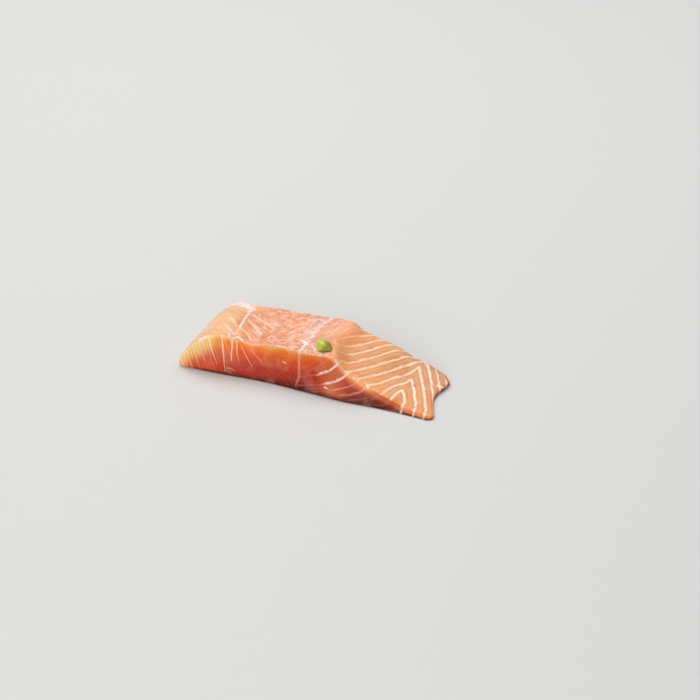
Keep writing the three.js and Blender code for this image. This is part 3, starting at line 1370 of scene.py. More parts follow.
@dataclass(frozen=True)
class FleshFinish:
    """Moist raw flesh: fat lines, seams, fibres and a wet surface. Sizes are mm."""

    fat: Colour = (255, 234, 216)
    veil: Colour = (255, 214, 196)
    pale: Colour = (255, 214, 180)
    dark: Colour = (196, 84, 34)
    amber: Colour = (232, 132, 56)
    pit: Colour = (190, 84, 48)

    # Fat lines between the sheets.
    line_width: float = 0.7  # half the width of a full line
    line_least: float = 0.4  # share of that width in the faintest line
    line_core: float = 0.3  # share of the half width that is all fat
    line_edge: float = 1.2
    line_blur: float = 0.35
    wander: Speckle = Speckle(6.0, amount=1.6)
    swell: Speckle = Speckle(3.0, amount=1.3)
    swell_least: float = 0.35
    breaks: Speckle = Speckle(2.2, 3, edge=(0.3, 0.55), amount=0.45)
    lesser_shift: float = 0.5  # place of the lesser lines, as a phase
    fat_amount: float = 0.95

    # Web of pale strands in the membrane.
    strand_size: tuple[float, float] = (1.1, 3.6)  # across and along the strokes
    strokes: Speckle = Speckle(1.0, 3, 0.7, (0.5, 0.66), amount=0.8)
    broad_strokes: Speckle = Speckle(2.6, 3, 1.2, (0.5, 0.62), amount=0.45)
    stroke_patches: Speckle = Speckle(5.0, edge=(0.36, 0.56), amount=0.7)
    loops: Speckle = Speckle(2.2, warp=1.6, middle=0.48)
    curls: Speckle = Speckle(2.4, warp=2.2, amount=0.7)
    thread_patches: Speckle = Speckle(2.6, edge=(0.42, 0.6), amount=0.7)
    web_amount: float = 0.85
    film_amount: float = 0.04  # of the membrane between its strands

    # Flesh between the lines.
    ragged_rim: Speckle = Speckle(1.8, 3, amount=2.6)
    bare_rim_ragged: float = 0.9
    rim_shift: float = 0.4
    rim_blur: float = 0.25
    fibre_size: tuple[float, float] = (0.5, 4.0)  # across and along a fibre
    fibres: Speckle = Speckle(1.0, 3, 0.4)
    fibre_amounts: tuple[float, float] = (0.35, 0.5)  # on the cuts, and what the top adds
    fibres_veiled: float = 0.4
    cloud: Speckle = Speckle(8.0, 3, amount=0.6)
    amber_size: tuple[float, float] = (2.2, 4.5)
    amber_patches: Speckle = Speckle(1.0, 3, 1.0, (0.5, 0.66), amount=0.7)
    pits: Speckle = Speckle(0.9, edge=(0.58, 0.72), amount=0.35)
    hem_at: float = 0.2
    hem_width: Span = (0.3, 1.0)
    hem_membrane: Span = (0.1, 0.6)
    hem_amount: float = 0.5

    # Streaks and spots, some of them painted glints.
    stain_uneven: Speckle = Speckle(1.7, 3, amount=1.7)
    sinew_edge: Span = (-0.05, 0.75)
    stain_edge: Span = (0.0, 0.65)
    stain_ragged: float = 0.5
    stain_amount: float = 0.92

    # Wet surface.
    film_blur: float = 0.4
    gloss: float = 0.36
    cloud_gloss: float = 0.3
    skin_gloss: float = 0.08
    ripple: Speckle = Speckle(1.6, 3)
    wet_top: float = 0.2
    wet_cuts: float = 0.06
    ripple_wet: float = 0.3
    fibre_height: float = 0.14
    ripple_height: float = 0.16
    line_height: float = 0.12
    veil_height: float = 0.16
    bump_strength: float = 0.9

    def lines(self, shader: Shader, place: Signal) -> Signal:
        """Share of fat at the lines between the muscle sheets.

        The distance from the nearest line is the phase's distance from a whole number times
        the pitch. The line wanders, swells and breaks by noise. Lesser lines lie half way
        between the full ones.

        Args:
            shader: The shader under construction.
            place: Object coordinates in mm.

        Returns:
            0 in the muscle, 1 in the middle of a full line.
        """
        phase, pitch, strength = shader.attribute("sheet")
        lesser, _, _ = shader.attribute("cover")
        wander = self.wander.around(shader, place) * self.wander.amount
        swell = self.swell.noise(shader, place) * self.swell.amount + self.swell_least
        unbroken = self.breaks.patches(shader, place) * self.breaks.amount
        unbroken = unbroken + (1 - self.breaks.amount)
        total: Signal | float = 0.0
        for shift, share in ((0.0, strength), (self.lesser_shift, lesser)):
            moved = phase + wander / pitch + shift
            distance = abs(moved - moved.rounded()) * pitch
            half = (share * (1 - self.line_least) + self.line_least) * swell * self.line_width
            line = 1 - distance.rise(half * self.line_core, half * self.line_edge + self.line_blur)
            total = (line * unbroken * share).at_least(total)
        return total

    def web(self, shader: Shader, brush: Signal, place: Signal) -> Signal:
        """Share of the pale web in the membrane: short strokes, thin loops and curls.

        Where noise is high it gives a stroke, and where it passes through its middle value
        it gives a thin line. A broader noise thins the strokes out in patches.

        Args:
            shader: The shader under construction.
            brush: Place across and along the strokes, in mm.
            place: Object coordinates in mm.

        Returns:
            0 between the strands, 1 in the middle of a strand.
        """
        stretched = shader.vector_math("DIVIDE", brush, (*self.strand_size, 1.0))
        strokes = self.strokes.patches(shader, stretched)
        broad = self.broad_strokes.patches(shader, stretched)
        patchy = self.stroke_patches.patches(shader, place)
        loops = self.loops.threads(shader, stretched)
        curls = self.curls.threads(shader, place)
        thin = (loops + curls * self.curls.amount) * self.thread_patches.patches(shader, place)
        dense = patchy * self.stroke_patches.amount + (1 - self.stroke_patches.amount)
        strands = strokes * dense * self.strokes.amount + broad * self.broad_strokes.amount
        return (strands + thin * self.thread_patches.amount).held()

    def from_rim(self, shader: Shader, place: Signal) -> Signal:
        """Distance from the top's rim in mm, positive on the top, made ragged at the membrane.

        Args:
            shader: The shader under construction.
            place: Object coordinates in mm.

        Returns:
            The distance.
        """
        _, membrane, edge = shader.attribute("cover")
        ragged = self.ragged_rim.around(shader, place)
        ragged = ragged * (membrane * self.ragged_rim.amount + self.bare_rim_ragged)
        return edge + ragged + membrane.at_most(1.0) * self.rim_shift

    def flesh(
        self, shader: Shader, place: Signal, brush: Signal, from_rim: Signal,
        shade: tuple[Signal, Signal],
    ) -> Signal:
        """Colour of the flesh between its lines.

        Fibres and cloudy patches turn the colour paler or darker. Amber patches and small
        dark pits lie in the membrane, and a pale hem along its rim.

        Args:
            shader: The shader under construction.
            place: Object coordinates in mm.
            brush: Place across and along the membrane's strokes, in mm.
            from_rim: Distance from the top's ragged rim, in mm.
            shade: Noise of the fibres and of the cloudy patches.

        Returns:
            The colour.
        """
        _, membrane, _ = shader.attribute("cover")
        on_top = from_rim.rise(-self.rim_blur, self.rim_blur)
        cuts, top = shader.colour_attribute("tint"), shader.colour_attribute("top_tint")
        colour = shader.mix(on_top, cuts, top)
        fibres, cloud = shade
        on_cuts, more = self.fibre_amounts
        amount = (on_top * more + on_cuts) * (1 - membrane * on_top * self.fibres_veiled)
        change = (fibres - self.fibres.middle) * amount
        change = change + (cloud - self.cloud.middle) * self.cloud.amount
        colour = shader.mix(change, colour, linear(*self.pale))
        colour = shader.mix(0 - change, colour, linear(*self.dark))
        stretched = shader.vector_math("DIVIDE", brush, (*self.amber_size, 1.0))
        patches = on_top * self.amber_patches.patches(shader, stretched)
        patches = patches * membrane.at_most(1.0) * self.amber_patches.amount
        colour = shader.mix(patches, colour, linear(*self.amber))
        pits = self.pits.patches(shader, place) * membrane * on_top
        colour = shader.mix(pits * self.pits.amount, colour, linear(*self.pit))
        hem = 1 - abs(from_rim - self.hem_at).rise(*self.hem_width)
        hem = hem * membrane.rise(*self.hem_membrane)
        return shader.mix(hem * self.hem_amount, colour, linear(*self.veil))

    def streaks(self, shader: Shader, stain: Stain, uneven: Signal) -> Signal:
        """Share of one stain's streaks, with ragged edges. Weak sinews and painted glints also
        break up.

        Args:
            shader: The shader under construction.
            stain: The stain.
            uneven: Noise around 0 that makes the edges ragged.

        Returns:
            0 off the streaks, and up to 1 on them.
        """
        signed, plain, strength = shader.attribute(stain.attribute)
        inside = 1 - abs(signed).at_least(plain)
        if stain is Stain.SINEW:
            return (inside * strength + uneven).rise(*self.sinew_edge)
        return (inside + uneven * self.stain_ragged).rise(*self.stain_edge) * strength

    def material(self) -> bpy.types.Material:
        """Makes the material.

        Returns:
            The material.
        """
        shader = Shader("salmon_flesh")
        place = shader.place_mm()
        across, along, skin = shader.attribute("flow")
        _, membrane, _ = shader.attribute("cover")
        from_rim = self.from_rim(shader, place)
        on_top = from_rim.rise(-self.film_blur, self.film_blur)
        wide, long = self.fibre_size
        fibres = self.fibres.noise(shader, shader.vector(across / wide, along / long, 0.0))
        cloud = self.cloud.noise(shader, place)
        brush = shader.vector_attribute("brush")
        colour = self.flesh(shader, place, brush, from_rim, (fibres, cloud))

        web = self.web(shader, brush, place)
        veil = membrane * on_top * (web * self.web_amount + self.film_amount)
        colour = shader.mix(veil, colour, linear(*self.veil))
        fat = self.lines(shader, place)
        colour = shader.mix(fat * self.fat_amount, colour, linear(*self.fat))

        raised = fat
        uneven = self.stain_uneven.around(shader, place) * self.stain_uneven.amount
        for stain in Stain:
            mark = self.streaks(shader, stain, uneven)
            colour = shader.mix(mark * self.stain_amount, colour, linear(*stain.value))
            if stain is Stain.SINEW:
                raised = mark.at_least(fat)

        # Wet surface: the fibres stand out a little, and the film pools in between.
        ripple = self.ripple.noise(shader, place)
        height = fibres * self.fibre_height + ripple * self.ripple_height
        height = height + raised * self.line_height + veil * self.veil_height
        rough = self.gloss + (cloud - self.cloud.middle) * self.cloud_gloss + skin * self.skin_gloss
        wet = on_top * self.wet_top + (ripple - self.ripple.middle) * self.ripple_wet
        return shader.finish({
            "Base Color": colour,
            "Roughness": rough,
            "Coat Weight": wet + self.wet_cuts,
            "Coat Roughness": 0.12,
            "Coat IOR": 1.34,
            "IOR": 1.36,
            "Specular IOR Level": 0.22,
            "Subsurface Weight": 0.25,
            "Subsurface Radius": (1.0, 0.42, 0.2),
            "Subsurface Scale": 1.6 * MM,
            "Normal": shader.bump(height, self.bump_strength),
        })


@dataclass
class Fillet:
    """The portion of salmon."""

    form: PortionForm = field(default_factory=PortionForm)
    tints: FleshTints = field(default_factory=FleshTints)
    lines: FatLines = field(default_factory=FatLines)
    membrane: Membrane = field(default_factory=Membrane)
    finish: FleshFinish = field(default_factory=FleshFinish)
    segments: tuple[int, int, int] = (300, 88, 48)
    grid_slack: float = 0.35  # half a step of the grid
    placing_steps: int = 12  # that find the top under a place

    # Fine relief.
    flake_rise: float = 0.22
    flake_level: float = 0.8  # share of the rise that lies below the plain form
    flake_power: int = 4  # how flat the flakes are in the middle
    belly_flakes: Span = (84, 104)
    top_flakes: float = 0.25  # share of the belly's flakes on all of the top
    front_flakes: float = 0.3
    broad_waves: Waves = field(default_factory=lambda: Waves(3, 24.0))
    broad_rise: float = 0.22
    broad_cuts: float = 0.5  # share of the top's broad waves on the cuts
    small_waves: Waves = field(default_factory=lambda: Waves(5, 6.0, 40))
    small_rise: float = 0.1
    small_shares: tuple[float, float] = (0.3, 0.9)  # everywhere, and what the loin adds
    loin: Hump = (62, 26)
    calm_foot: Span = (0.2, 2.2)  # heights over which the relief grows

    # What the finish reads.
    steep_limits: Span = (0.05, 0.6)  # of the phase, for each mm
    fibre_fall: float = 0.8  # how far the fibres lean for each mm of depth
    streak_far: float = 4.0  # half widths, past which a streak's distance no longer counts
    streaks: tuple[Streak, ...] = (
        # The sinew that caps the hump at the rear and runs down to the knot at the rim.
        Streak(Stain.SINEW, 0.85, ((12, 43.5, 0, 2.4), (21.3, 43.3, 0, 4.4), (30, 40, 0, 4.8))),
        Streak(Stain.SINEW, 0.62, ((30, 40, 0, 3.8), (33.4, 33, 0, 2.2), (34.4, 28, 0, 1.0)), 0.3),
        Streak(Stain.SINEW, 0.4, ((34.4, 28, 0, 1.0), (34.9, 21, 0, 0.9))),
        Streak(Stain.SINEW, 0.75, ((34.9, 21, 0, 0.9), (35, 13, 0, 1.1))),
        Streak(Stain.SINEW, 0.35, ((35, 11.5, 0, 0.8), (34.8, 3, 0, 0.8))),
        # Painted glints, with pale fat between them, at the knot on the rim.
        Streak(Stain.SINEW, 1.0, ((31.8, 1.8, 0, 0.6), (33, 0.6, 0.3, 0.9), (34.6, 0.8, 0.2, 0.5))),
        Streak(Stain.FAT, 0.8, ((34.6, 0.6, 0.3, 0.6), (36.4, 1.2, 0.2, 0.7))),
        Streak(Stain.SINEW, 1.0, ((36.6, 2.2, 0, 0.9), (39, 1.3, 0, 1.1), (40.6, 0.6, 0.2, 0.7))),
        # Pale strokes over the slope and the back of the loin.
        Streak(Stain.FAT, 0.6, ((25.5, 11.5, 0, 0.9), (30.6, 6.9, 0, 1.2), (34, 3.1, 0, 1.1))),
        Streak(Stain.FAT, 0.5, ((24.4, 22.6, 0, 1.0), (30.1, 17.8, 0, 1.3), (33.5, 12, 0, 0.9))),
        Streak(Stain.FAT, 0.6, ((36.2, 11.3, 0, 0.8), (41, 9.3, 0, 1.1), (44.7, 3.5, 0, 0.9))),
        Streak(Stain.FAT, 0.5, ((38, 22.4, 0, 1.0), (44, 18.4, 0, 1.8), (49.2, 12.3, 0, 1.4))),
        Streak(Stain.FAT, 0.6, ((37.3, 31, 0, 1.1), (50.8, 23.1, 0, 1.1), (57, 17.5, 0, 0.7))),
        Streak(Stain.FAT, 0.5, ((60, 45.4, 0, 0.8), (79, 45, 0, 1.0))),
        # A painted glint on the rim at the tip of the slope.
        Streak(Stain.SINEW, 1.0, (
            (13.6, 0.9, 0.1, 0.8), (16.2, 0.7, 0.3, 1.1), (19.4, 0.9, 0.1, 0.6),
        )),
        # The midline: a fuzzy band, a white patch and a thin line down to the rim.
        Streak(Stain.SINEW, 0.46, (
            (86.9, 45.5, 0, 2.4), (82.2, 37, 0, 3.0), (83.3, 28.5, 0, 3.2), (82.9, 21.7, 0, 2.2),
            (82.3, 16, 0, 1.4),
        )),
        Streak(Stain.SINEW, 0.6, (
            (83.3, 26, 0, 0.8), (82.9, 21.7, 0, 0.9), (82.3, 16, 0, 0.8), (81.4, 12, 0, 0.8),
        )),
        Streak(Stain.SINEW, 0.95, ((76.4, 11.5, 0, 1.6), (79.6, 9.6, 0, 2.6))),
        Streak(Stain.SINEW, 1.0, ((78.8, 7.6, 0, 0.8), (78.2, 5, 0, 0.8), (77.3, 0.4, 0.4, 0.7))),
        Streak(Stain.SINEW, 0.45, ((83.8, 9, 0, 1.4), (86.4, 3.0, 0, 1.5))),
        Streak(Stain.FAT, 0.3, (
            (77.3, 0, 0.5, 1.1), (78.9, 0, 13.8, 1.2), (77.5, 0, 19, 0.7),
        ), 0.4),
        # Bright lines down the front cut below the knot and on the back's end.
        Streak(Stain.FAT, 1.0, ((28.2, 0, 0.3, 0.95), (29.6, 0, 11, 0.7), (31, 0, 21.5, 0.3)), 0.6),
        Streak(Stain.FAT, 1.0, ((34.6, 0, 0.8, 0.8), (34.8, 0, 13.7, 0.5)), 0.4),
        Streak(Stain.FAT, 0.85, ((37.2, 0, 0.8, 0.65), (38, 0, 8.4, 0.5), (40, 0, 13.5, 0.2)), 0.7),
        Streak(Stain.FAT, 0.55, (
            (40.4, 0, 3.6, 0.4), (43.4, 0, 7.4, 0.5), (48, 0, 12.6, 0.3),
        ), 0.3),
        Streak(Stain.FAT, 0.25, ((46.4, 0, 3.4, 0.6), (54, 0, 10, 0.9)), 0.3),
        Streak(Stain.FAT, 0.9, (
            (20.3, 0, 2, 0.75), (22.8, 0, 11, 0.6), (25.9, 0, 18.8, 0.2),
        ), 0.65),
        Streak(Stain.FAT, 0.9, ((13.8, 0, 1, 0.8), (15.6, 0, 11, 0.25)), 0.7),
        # Painted glints on the front cut.
        Streak(Stain.SINEW, 0.9, ((96.6, 0, 17.5, 0.8), (98.2, 0, 17.8, 0.6))),
        Streak(Stain.FAT, 0.8, ((67.4, 0, 8.3, 0.5), (69.3, 0, 8.8, 0.5))),
        Streak(Stain.FAT, 0.2, ((32.4, 0, 19.6, 0.9), (35.2, 0, 18.4, 0.8), (37, 0, 18.8, 0.8))),
        # Glints and pale spots at the rim.
        Streak(Stain.SINEW, 0.8, ((61.8, 1.2, 0.1, 0.6), (65.6, 0.8, 0.3, 0.7))),
        Streak(Stain.SINEW, 0.7, ((87.5, 1.4, 0, 0.6), (90.5, 1.4, 0, 0.6))),
        Streak(Stain.FAT, 0.5, ((101.2, 0.6, 0.6, 0.9), (102, 0.3, 1.6, 0.9))),
        Streak(Stain.SINEW, 0.9, ((107.4, 0.4, 0.6, 0.8), (108.6, 1.4, 0, 0.7))),
        Streak(Stain.FAT, 0.7, ((112.4, 0.5, 0.5, 0.9), (114.4, 1.4, 0, 0.8))),
        Streak(Stain.FAT, 0.8, ((119.4, 1.6, 0, 0.8), (121.6, 0.6, 0.5, 1.1))),
        Streak(Stain.SINEW, 0.8, ((148.5, 45, 0, 1.0), (149.5, 41, 0, 0.9))),
        Streak(Stain.SINEW, 0.6, ((145.6, 26.2, 0, 0.9), (147, 25.4, 0, 1.0))),
        Streak(Stain.SINEW, 0.8, ((160.6, 32.4, 0, 1.0), (162.2, 33.2, 0.4, 1.3))),
        Streak(Stain.FAT, 0.9, (
            (159.8, 44, 0, 0.7), (161.8, 41, 0.1, 0.9), (162.2, 37.6, 0.3, 0.8),
        )),
        # Spots.
        Streak(Stain.AMBER, 0.35, ((43.4, 1.6, 0, 1.2), (48.4, 7.8, 0, 1.4))),
        Streak(Stain.AMBER, 0.3, ((52.4, 28.6, 0, 1.0), (54.4, 27.8, 0, 1.0))),
        Streak(Stain.AMBER, 0.8, ((77.6, 28.6, 0, 0.9), (79.4, 29, 0, 0.9))),
        Streak(Stain.AMBER, 0.8, ((80.4, 31, 0, 0.8), (81.8, 31, 0, 0.8))),
        Streak(Stain.DARK, 0.9, ((69.8, 0, 3.4, 0.7),)),
        Streak(Stain.DARK, 0.75, ((149, 23.2, 0, 0.7), (150, 22.6, 0, 0.7))),
        Streak(Stain.RED, 0.3, ((139, 24.5, 0, 1.6), (142.5, 27.5, 0, 2.2))),
        Streak(Stain.RED, 0.6, (
            (162.6, 41.5, 0.8, 1.2), (162.6, 45, 0.8, 1.4), (158, 46.4, 0.6, 0.9),
        )),
    )

    def __post_init__(self) -> None:
        """Works out where the portion's own frame lies in the row frame."""
        self.sheets = MuscleSheets(self.form)
        shares, self.squares = BlockSkin(self.segments).surface()
        self.points = self.form.place(*shares.T)
        low, high = (np.array(corner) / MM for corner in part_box("salmon_fillet"))
        own_low, own_high = self.points.xyz.min(0), self.points.xyz.max(0)
        self.shift = (low + high - own_low - own_high) / 2
        self.shift[2] = low[2]

    def relief(self, phase: Array, sides: Sides) -> Array:
        """Height of the fine relief, in mm.

        Flakes are round between the lines: 1 - (2f - 1)^4 of the phase's fraction f. Waves
        of two sizes make the top and the cuts uneven. The relief dies out at the foot.

        Args:
            phase: Phase of the muscle sheets.
            sides: Sides that the points belong to.

        Returns:
            The height at each vertex.
        """
        points = self.points
        fraction = phase - np.floor(phase)
        flake = 1 - np.abs(2 * fraction - 1) ** self.flake_power
        flakes = sides.top * (smooth(points.along, *self.belly_flakes) + self.top_flakes)
        flakes = flakes + self.front_flakes * sides.front
        height = self.flake_rise * (flake - self.flake_level) * flakes
        cuts = self.broad_cuts * (sides.front + sides.rear)
        height += self.broad_rise * self.broad_waves.at(points.xyz) * (sides.top + cuts)
        everywhere, more = self.small_shares
        small = everywhere + more * sides.top * hump(*self.loin, points.along)
        height += self.small_rise * self.small_waves.at(points.xyz) * small
        return height * smooth(points.up, *self.calm_foot) * (1 - sides.under)

    def streak_reach(self, stain: Stain) -> Array:
        """Distances from the strongest streak of a stain.

        Both distances are in half widths and held below 4. The signed one is exact close to
        the path when it is read between vertices, but passes through 0 where the side
        changes far from it. The plain one, less half a grid step, guards against that.

        Args:
            stain: The stain.

        Returns:
            Signed distance, plain distance and strength, one row a vertex.
        """
        points = self.points
        spot = np.stack([points.along, points.across, points.depth], -1)
        found = []
        for streak in self.streaks:
            if streak.stain is stain:
                signed, plain, half, strength = streak.distances(spot).T
                plain = plain - self.grid_slack
                found.append(np.stack([signed / half, plain / half, strength], -1))
        every = np.stack(found)
        strongest = np.argmax((1 - np.abs(every[..., 0])) * every[..., 2], 0)
        chosen = every[strongest, np.arange(len(spot))]
        return np.clip(chosen, -self.streak_far, self.streak_far)

    def build(self) -> bpy.types.Object:
        """Builds the fine surface with what its finish reads, and dresses it.

        Returns:
            The piece.
        """
        points = self.points
        sides = Sides.of(self.form, points)
        phase = lerp(self.sheets.phase(points), self.sheets.skin_phase(points), sides.under > 0.5)
        across_sheets = np.where(
            self.sheets.is_belly(points),
            self.sheets.belly_place(points), self.sheets.back_place(points),
        )
        pitch = 1 / np.clip(steepness(points.xyz, self.squares, phase), *self.steep_limits)
        strength = self.lines.strength(self.sheets, points, sides, phase)
        lesser, membrane = self.lines.lesser(points, sides), self.membrane.share(points)
        with_sheets = points.xyz[:, 1] - self.fibre_fall * points.depth
        brushed = self.sheets.brushed(points)
        ground = self.tints.ground(points, sides)
        relief = self.relief(phase, sides)[:, None]
        surface = points.xyz + outward(points.xyz, self.squares) * relief
        surface[:, 2] = np.maximum(surface[:, 2], 0)
        piece = grid_object(
            "salmon_portion",
            surface + self.shift,
            self.squares,
            {
                "sheet": np.stack([phase, pitch, strength], -1),
                "flow": np.stack([across_sheets, with_sheets, sides.under], -1),
                "cover": np.stack([lesser, membrane, sides.edge], -1),
                "brush": np.stack([brushed, points.along, np.zeros_like(brushed)], -1),
                **{stain.attribute: self.streak_reach(stain) for stain in Stain},
            },
            {
                "tint": self.tints.cuts(ground, phase, sides.under),
                "top_tint": self.tints.top(ground, phase),
            },
        )
        piece.data.materials.append(self.finish.material())
        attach(piece, "root")
        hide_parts("salmon_fillet")
        return piece

    def top_under(self, x: Array, y: Array) -> Array:
        """Height of the top under places of the portion's own frame, by walking the shares.

        Args:
            x: Places along x.
            y: Places along y.

        Returns:
            The heights.
        """
        u, v = x / self.form.length, y / self.form.width
        for _ in range(self.placing_steps):
            found = self.form.place(u, v, np.ones_like(u)).xyz
            u = np.clip(u + (x - found[:, 0]) / self.form.length, 0, 1)
            v = np.clip(v + (y - found[:, 1]) / self.form.width, 0, 1)
        return self.form.place(u, v, np.ones_like(u)).xyz[:, 2]


# ---- The herb leaf ----


@dataclass(frozen=True)
class LeafFinish:
    """Fresh herb leaf: a soft sheen over veined green. Sizes are mm."""

    pale: Colour = (214, 224, 130)
    mottle: Speckle = Speckle(1.2, 3, amount=0.3)
    grain: Speckle = Speckle(0.6, 3, amount=0.06)
    rough: float = 0.42
    mottle_rough: float = 0.2
    bump_strength: float = 0.6

    def material(self) -> bpy.types.Material:
        """Makes the material.

        Returns:
            The material.
        """
        shader = Shader("herb_leaf")
        place = shader.place_mm()
        colour = shader.colour_attribute("tint")
        mottle = self.mottle.noise(shader, place)
        change = (mottle - self.mottle.middle) * self.mottle.amount
        colour = shader.mix(change, colour, linear(*self.pale))
        height = self.grain.noise(shader, place) * self.grain.amount
        return shader.finish({
            "Base Color": colour,
            "Roughness": self.rough + (mottle - self.mottle.middle) * self.mottle_rough,
            "Coat Weight": 0.08,
            "Coat Roughness": 0.2,
            "Specular IOR Level": 0.25,
            "Subsurface Weight": 0.15,
            "Subsurface Radius": (0.6, 1.0, 0.2),
            "Subsurface Scale": 0.8 * MM,
            "Normal": shader.bump(height, self.bump_strength),
        })


@dataclass
class HerbLeaf:
    """The small leaf that lies on the loin: broad, domed and slightly folded."""

    fillet: Fillet
    length: float = 10.8
    width: float = 9.0
    far_half: float = 0.72  # width of the rear half as a share of the front half's
    thickness: float = 0.5
    centre: tuple[float, float] = (91.6, 14.7)
    turn: float = math.radians(-24)
    dome: float = 1.9
    stalk_rise: float = 2.4
    spread: float = 0.35  # share of the length over which the raised stalk end spreads out
    wave: float = 0.2
    wave_rate: float = 9.0
    wave_start: float = 2.0
    gap: float = 0.3
    tip_width: float = 0.06
    widest: float = 0.8  # below 1 the leaf is widest nearer the stalk
    fullness: float = 0.62  # below 1 the outline is fuller than a sine
    grid: tuple[int, int] = (72, 60)

    # Places across run from -1 to 1, and places along from 0 at the stalk to 1 at the tip.
    rib: Hump = (-0.3, 0.1)  # across
    rib_depth: float = 0.22
    rib_begins: Span = (0, 0.1)
    margin_thin: float = 0.35  # share of the thickness left at the margin
    margin_width: float = 0.12
    veins: int = 5
    vein_height: float = 0.08
    vein_slant: float = 0.28
    vein_width: Span = (0.04, 0.14)
    veins_until: Span = (0.95, 0.7)

    # Painted light and shade: lit green near the stalk, a darker green in painted shade towards the
    # tip, and the darkest painted shade at the margin.
    painted_lit_green: Colour = (182, 186, 60)
    painted_shade_olive: Colour = (134, 128, 4)
    margin: Colour = (92, 84, 20)
    rib_pale: Colour = (214, 218, 140)
    # Where the painted shade sets in, and how strong and wide it is at the margin.
    olive_slant: float = 0.16
    olive_begins: Span = (0.3, 0.66)
    margin_amount: float = 0.7
    margin_across: Span = (0.8, 1.0)
    margin_begins: Span = (0.4, 0.8)
    vein_amount: float = 0.15
    rib_amount: float = 0.75
    rib_until: Span = (0.8, 0.45)
    finish: LeafFinish = field(default_factory=LeafFinish)

    def sheet(self, s: Array, v: Array, level: float) -> Array:
        """Points of one face.

        The outline is a power of a sine of the share s from stalk to tip, v runs from -1 to
        1 across. The face is domed, raised at the stalk, waved at the margin and creased at
        the midrib.

        Args:
            s: Shares from stalk to tip.
            v: Shares across.
            level: 0 on the lower face and 1 on the upper face.

        Returns:
            Points in the portion's own frame.
        """
        outline = np.sin(math.pi * np.clip(s, 0, 1) ** self.widest) ** self.fullness
        breadth = np.maximum(self.tip_width, outline) * np.where(v > 0, self.far_half, 1)
        p, q = self.length * (s - 0.5), self.width / 2 * breadth * v
        x = self.centre[0] + p * math.cos(self.turn) - q * math.sin(self.turn)
        y = self.centre[1] + p * math.sin(self.turn) + q * math.cos(self.turn)
        arch = self.stalk_rise * (1 - s) + self.dome * np.sin(math.pi * s)
        dome = arch * (1 - v * v * smooth(s, 0, self.spread))
        wave = self.wave * (1 + np.sin(self.wave_rate * s + self.wave_start)) * v * v
        crease = self.rib_depth * hump(*self.rib, v) * smooth(s, *self.rib_begins)
        thick = lerp(self.margin_thin, 1, smooth(1 - np.abs(v), 0, self.margin_width))
        face = dome + wave - crease + self.vein_height * self.vein_lines(s, v)
        z = self.fillet.top_under(x, y) + self.gap + face + level * self.thickness * thick
        return np.stack([x, y, z], -1)

    def vein_lines(self, s: Array, v: Array) -> Array:
        """Share of side vein: lines that leave the midrib towards the tip.

        Args:
            s: Shares from stalk to tip.
            v: Shares across.

        Returns:
            0 beside the veins, 1 on them.
        """
        phase = (s - self.vein_slant * np.abs(v - self.rib[0])) * (self.veins + 1)
        away = np.abs(phase - np.round(phase))
        return (1 - smooth(away, *self.vein_width)) * smooth(np.abs(v), *self.veins_until)

    def tint(self, s: Array, v: Array) -> Array:
        """Colour of the leaf: painted light at the stalk, painted shade towards the tip and
        darkest painted shade at the margin, with a pale rib.

        Args:
            s: Shares from stalk to tip.
            v: Shares across.

        Returns:
            Linear colours, one row a vertex.
        """
        s, v = s[:, None], v[:, None]
        painted_lit_green, painted_shade_olive, margin, pale = (
            np.array(linear(*colour))
            for colour in (self.painted_lit_green, self.painted_shade_olive, self.margin, self.rib_pale)
        )
        by_margin = smooth(np.abs(v), *self.margin_across) * smooth(s, *self.margin_begins)
        along_rib = hump(*self.rib, v) * smooth(s, *self.rib_until)
        # Painted light near the stalk turns to painted shade towards the tip and at the margin.
        colour = lerp(painted_lit_green, painted_shade_olive, smooth(s + self.olive_slant * v, *self.olive_begins))
        colour = lerp(colour, margin, self.margin_amount * by_margin)
        colour = lerp(colour, pale, self.vein_amount * self.vein_lines(s, v))
        return lerp(colour, pale, self.rib_amount * along_rib)

    def build(self) -> bpy.types.Object:
        """Builds both faces and the rim, and dresses them.

        Returns:
            The piece.
        """
        rows, columns = self.grid
        i, j = np.meshgrid(np.arange(rows + 1), np.arange(columns + 1), indexing="ij")
        s, v = (i / rows).ravel(), (2 * j / columns - 1).ravel()
        points = np.concatenate([self.sheet(s, v, 0), self.sheet(s, v, 1)])
        number = i * (columns + 1) + j
        a, b, c, d = number[:-1, :-1], number[1:, :-1], number[1:, 1:], number[:-1, 1:]
        above = len(s)
        upper = np.stack([a, b, c, d], -1).reshape(-1, 4) + above
        lower = np.stack([a, d, c, b], -1).reshape(-1, 4)
        loop = np.concatenate([
            number[:, 0], number[-1, 1:], number[-2::-1, -1], number[0, -2:0:-1],
        ])
        after = np.roll(loop, -1)
        rim = np.stack([loop, after, after + above, loop + above], -1)
        squares = np.concatenate([upper, lower, rim])
        tint = np.tile(self.tint(s, v), (2, 1))
        piece = grid_object(
            "herb_leaf_blade", points + self.fillet.shift, squares, {}, {"tint": tint}
        )
        piece.data.materials.append(self.finish.material())
        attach(piece, "root")
        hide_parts("herb_leaf")
        return piece


# ---- Studio ----


@dataclass(frozen=True)
class AreaLamp:
    """A square soft box that looks at the middle of the table."""

    name: str
    place: tuple[float, float, float]
    size: float
    power: float

    def build(self) -> None:
        """Adds the lamp."""
        lamp = bpy.data.lights.new(self.name, "AREA")
        lamp.size = self.size
        lamp.energy = self.power
        holder = bpy.data.objects.new(self.name, lamp)
        holder.location = self.place
        holder.rotation_euler = (-Vector(self.place)).to_track_quat("-Z", "Y").to_euler()
        bpy.context.scene.collection.objects.link(holder)


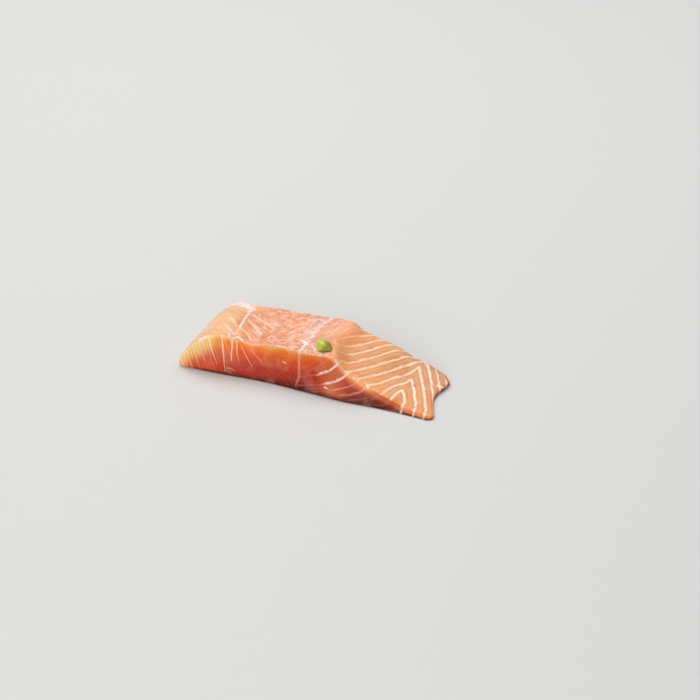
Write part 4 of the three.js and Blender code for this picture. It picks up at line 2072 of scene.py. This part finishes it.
@dataclass(frozen=True)
class Studio:
    """A plain pale floor under plain soft light."""

    floor_size: float = 8.0
    floor: Colour = (206, 206, 204)
    floor_rough: float = 0.7
    sky: float = 0.35
    lamps: tuple[AreaLamp, ...] = (
        AreaLamp("key_softbox", (-0.75, 0.55, 1.25), 1.1, 12.8),
        AreaLamp("top_softbox", (0.35, 0.75, 1.3), 1.0, 6.5),
        AreaLamp("fill_softbox", (0.1, -1.4, 0.9), 1.2, 15.0),
    )

    def build(self) -> None:
        """Adds the floor, the sky and the lamps."""
        shader = Shader("pale_floor")
        material = shader.finish({
            "Base Color": (*linear(*self.floor), 1.0), "Roughness": self.floor_rough,
        })
        mesh = bpy.data.meshes.new("floor")
        half = self.floor_size / 2
        corners = [(-half, -half, 0), (half, -half, 0), (half, half, 0), (-half, half, 0)]
        mesh.from_pydata(corners, [], [(0, 1, 2, 3)])
        mesh.materials.append(material)
        floor = bpy.data.objects.new("floor", mesh)
        bpy.context.scene.collection.objects.link(floor)
        world = bpy.data.worlds.new("sky")
        world.use_nodes = True
        background = world.node_tree.nodes["Background"]
        background.inputs["Color"].default_value = (1, 1, 1, 1)
        background.inputs["Strength"].default_value = self.sky
        bpy.context.scene.world = world
        for lamp in self.lamps:
            lamp.build()
        bpy.context.scene.view_settings.view_transform = "Standard"


@dataclass(frozen=True)
class TableCamera:
    """A camera that looks down on the table along a given azimuth and elevation.

    The front foot corner of the back end falls on a chosen pixel of the frame.
    """

    azimuth: float = 27.9
    elevation: float = 29.6
    roll: float = -3.0
    frame_px: int = 700
    focal_px: float = 2016.0
    distance_mm: float = 1209.3
    corner_px: tuple[float, float] = (180.7, 366.3)
    sensor: float = 36.0
    clip: Span = (0.05, 30.0)

    def build(self, corner_mm: Array) -> None:
        """Adds the camera.

        Args:
            corner_mm: The front foot corner of the back end, in the row frame.
        """
        a, e, roll = (math.radians(x) for x in (self.azimuth, self.elevation, self.roll))
        ahead = Vector((-math.cos(e) * math.sin(a), math.cos(e) * math.cos(a), -math.sin(e)))
        level = ahead.cross(Vector((0, 0, 1))).normalized()
        upright = level.cross(ahead)
        right = math.cos(roll) * level + math.sin(roll) * upright
        up = -math.sin(roll) * level + math.cos(roll) * upright
        aside, down = ((px - self.frame_px / 2) / self.focal_px for px in self.corner_px)
        ray = ahead + aside * right - down * up
        place = (Vector(corner_mm) - ray * self.distance_mm) * MM
        lens = bpy.data.cameras.new("table_camera")
        lens.sensor_width = self.sensor
        lens.lens = self.sensor * self.focal_px / self.frame_px
        lens.clip_start, lens.clip_end = self.clip
        camera = bpy.data.objects.new("table_camera", lens)
        turn = Matrix((right, up, -ahead)).transposed().to_4x4()
        camera.matrix_world = Matrix.Translation(place) @ turn
        bpy.context.scene.collection.objects.link(camera)
        bpy.context.scene.camera = camera


def main() -> None:
    """Builds the portion, its leaf and the studio."""
    logging.basicConfig(level=logging.INFO, format="%(name)s: %(message)s")
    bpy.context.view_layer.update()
    fillet = Fillet()
    for piece in (fillet.build(), HerbLeaf(fillet).build()):
        LOG.info("%s: %d faces", piece.name, len(piece.data.polygons))
    Studio().build()
    TableCamera().build(fillet.shift)


if __name__ == "__main__":
    main()
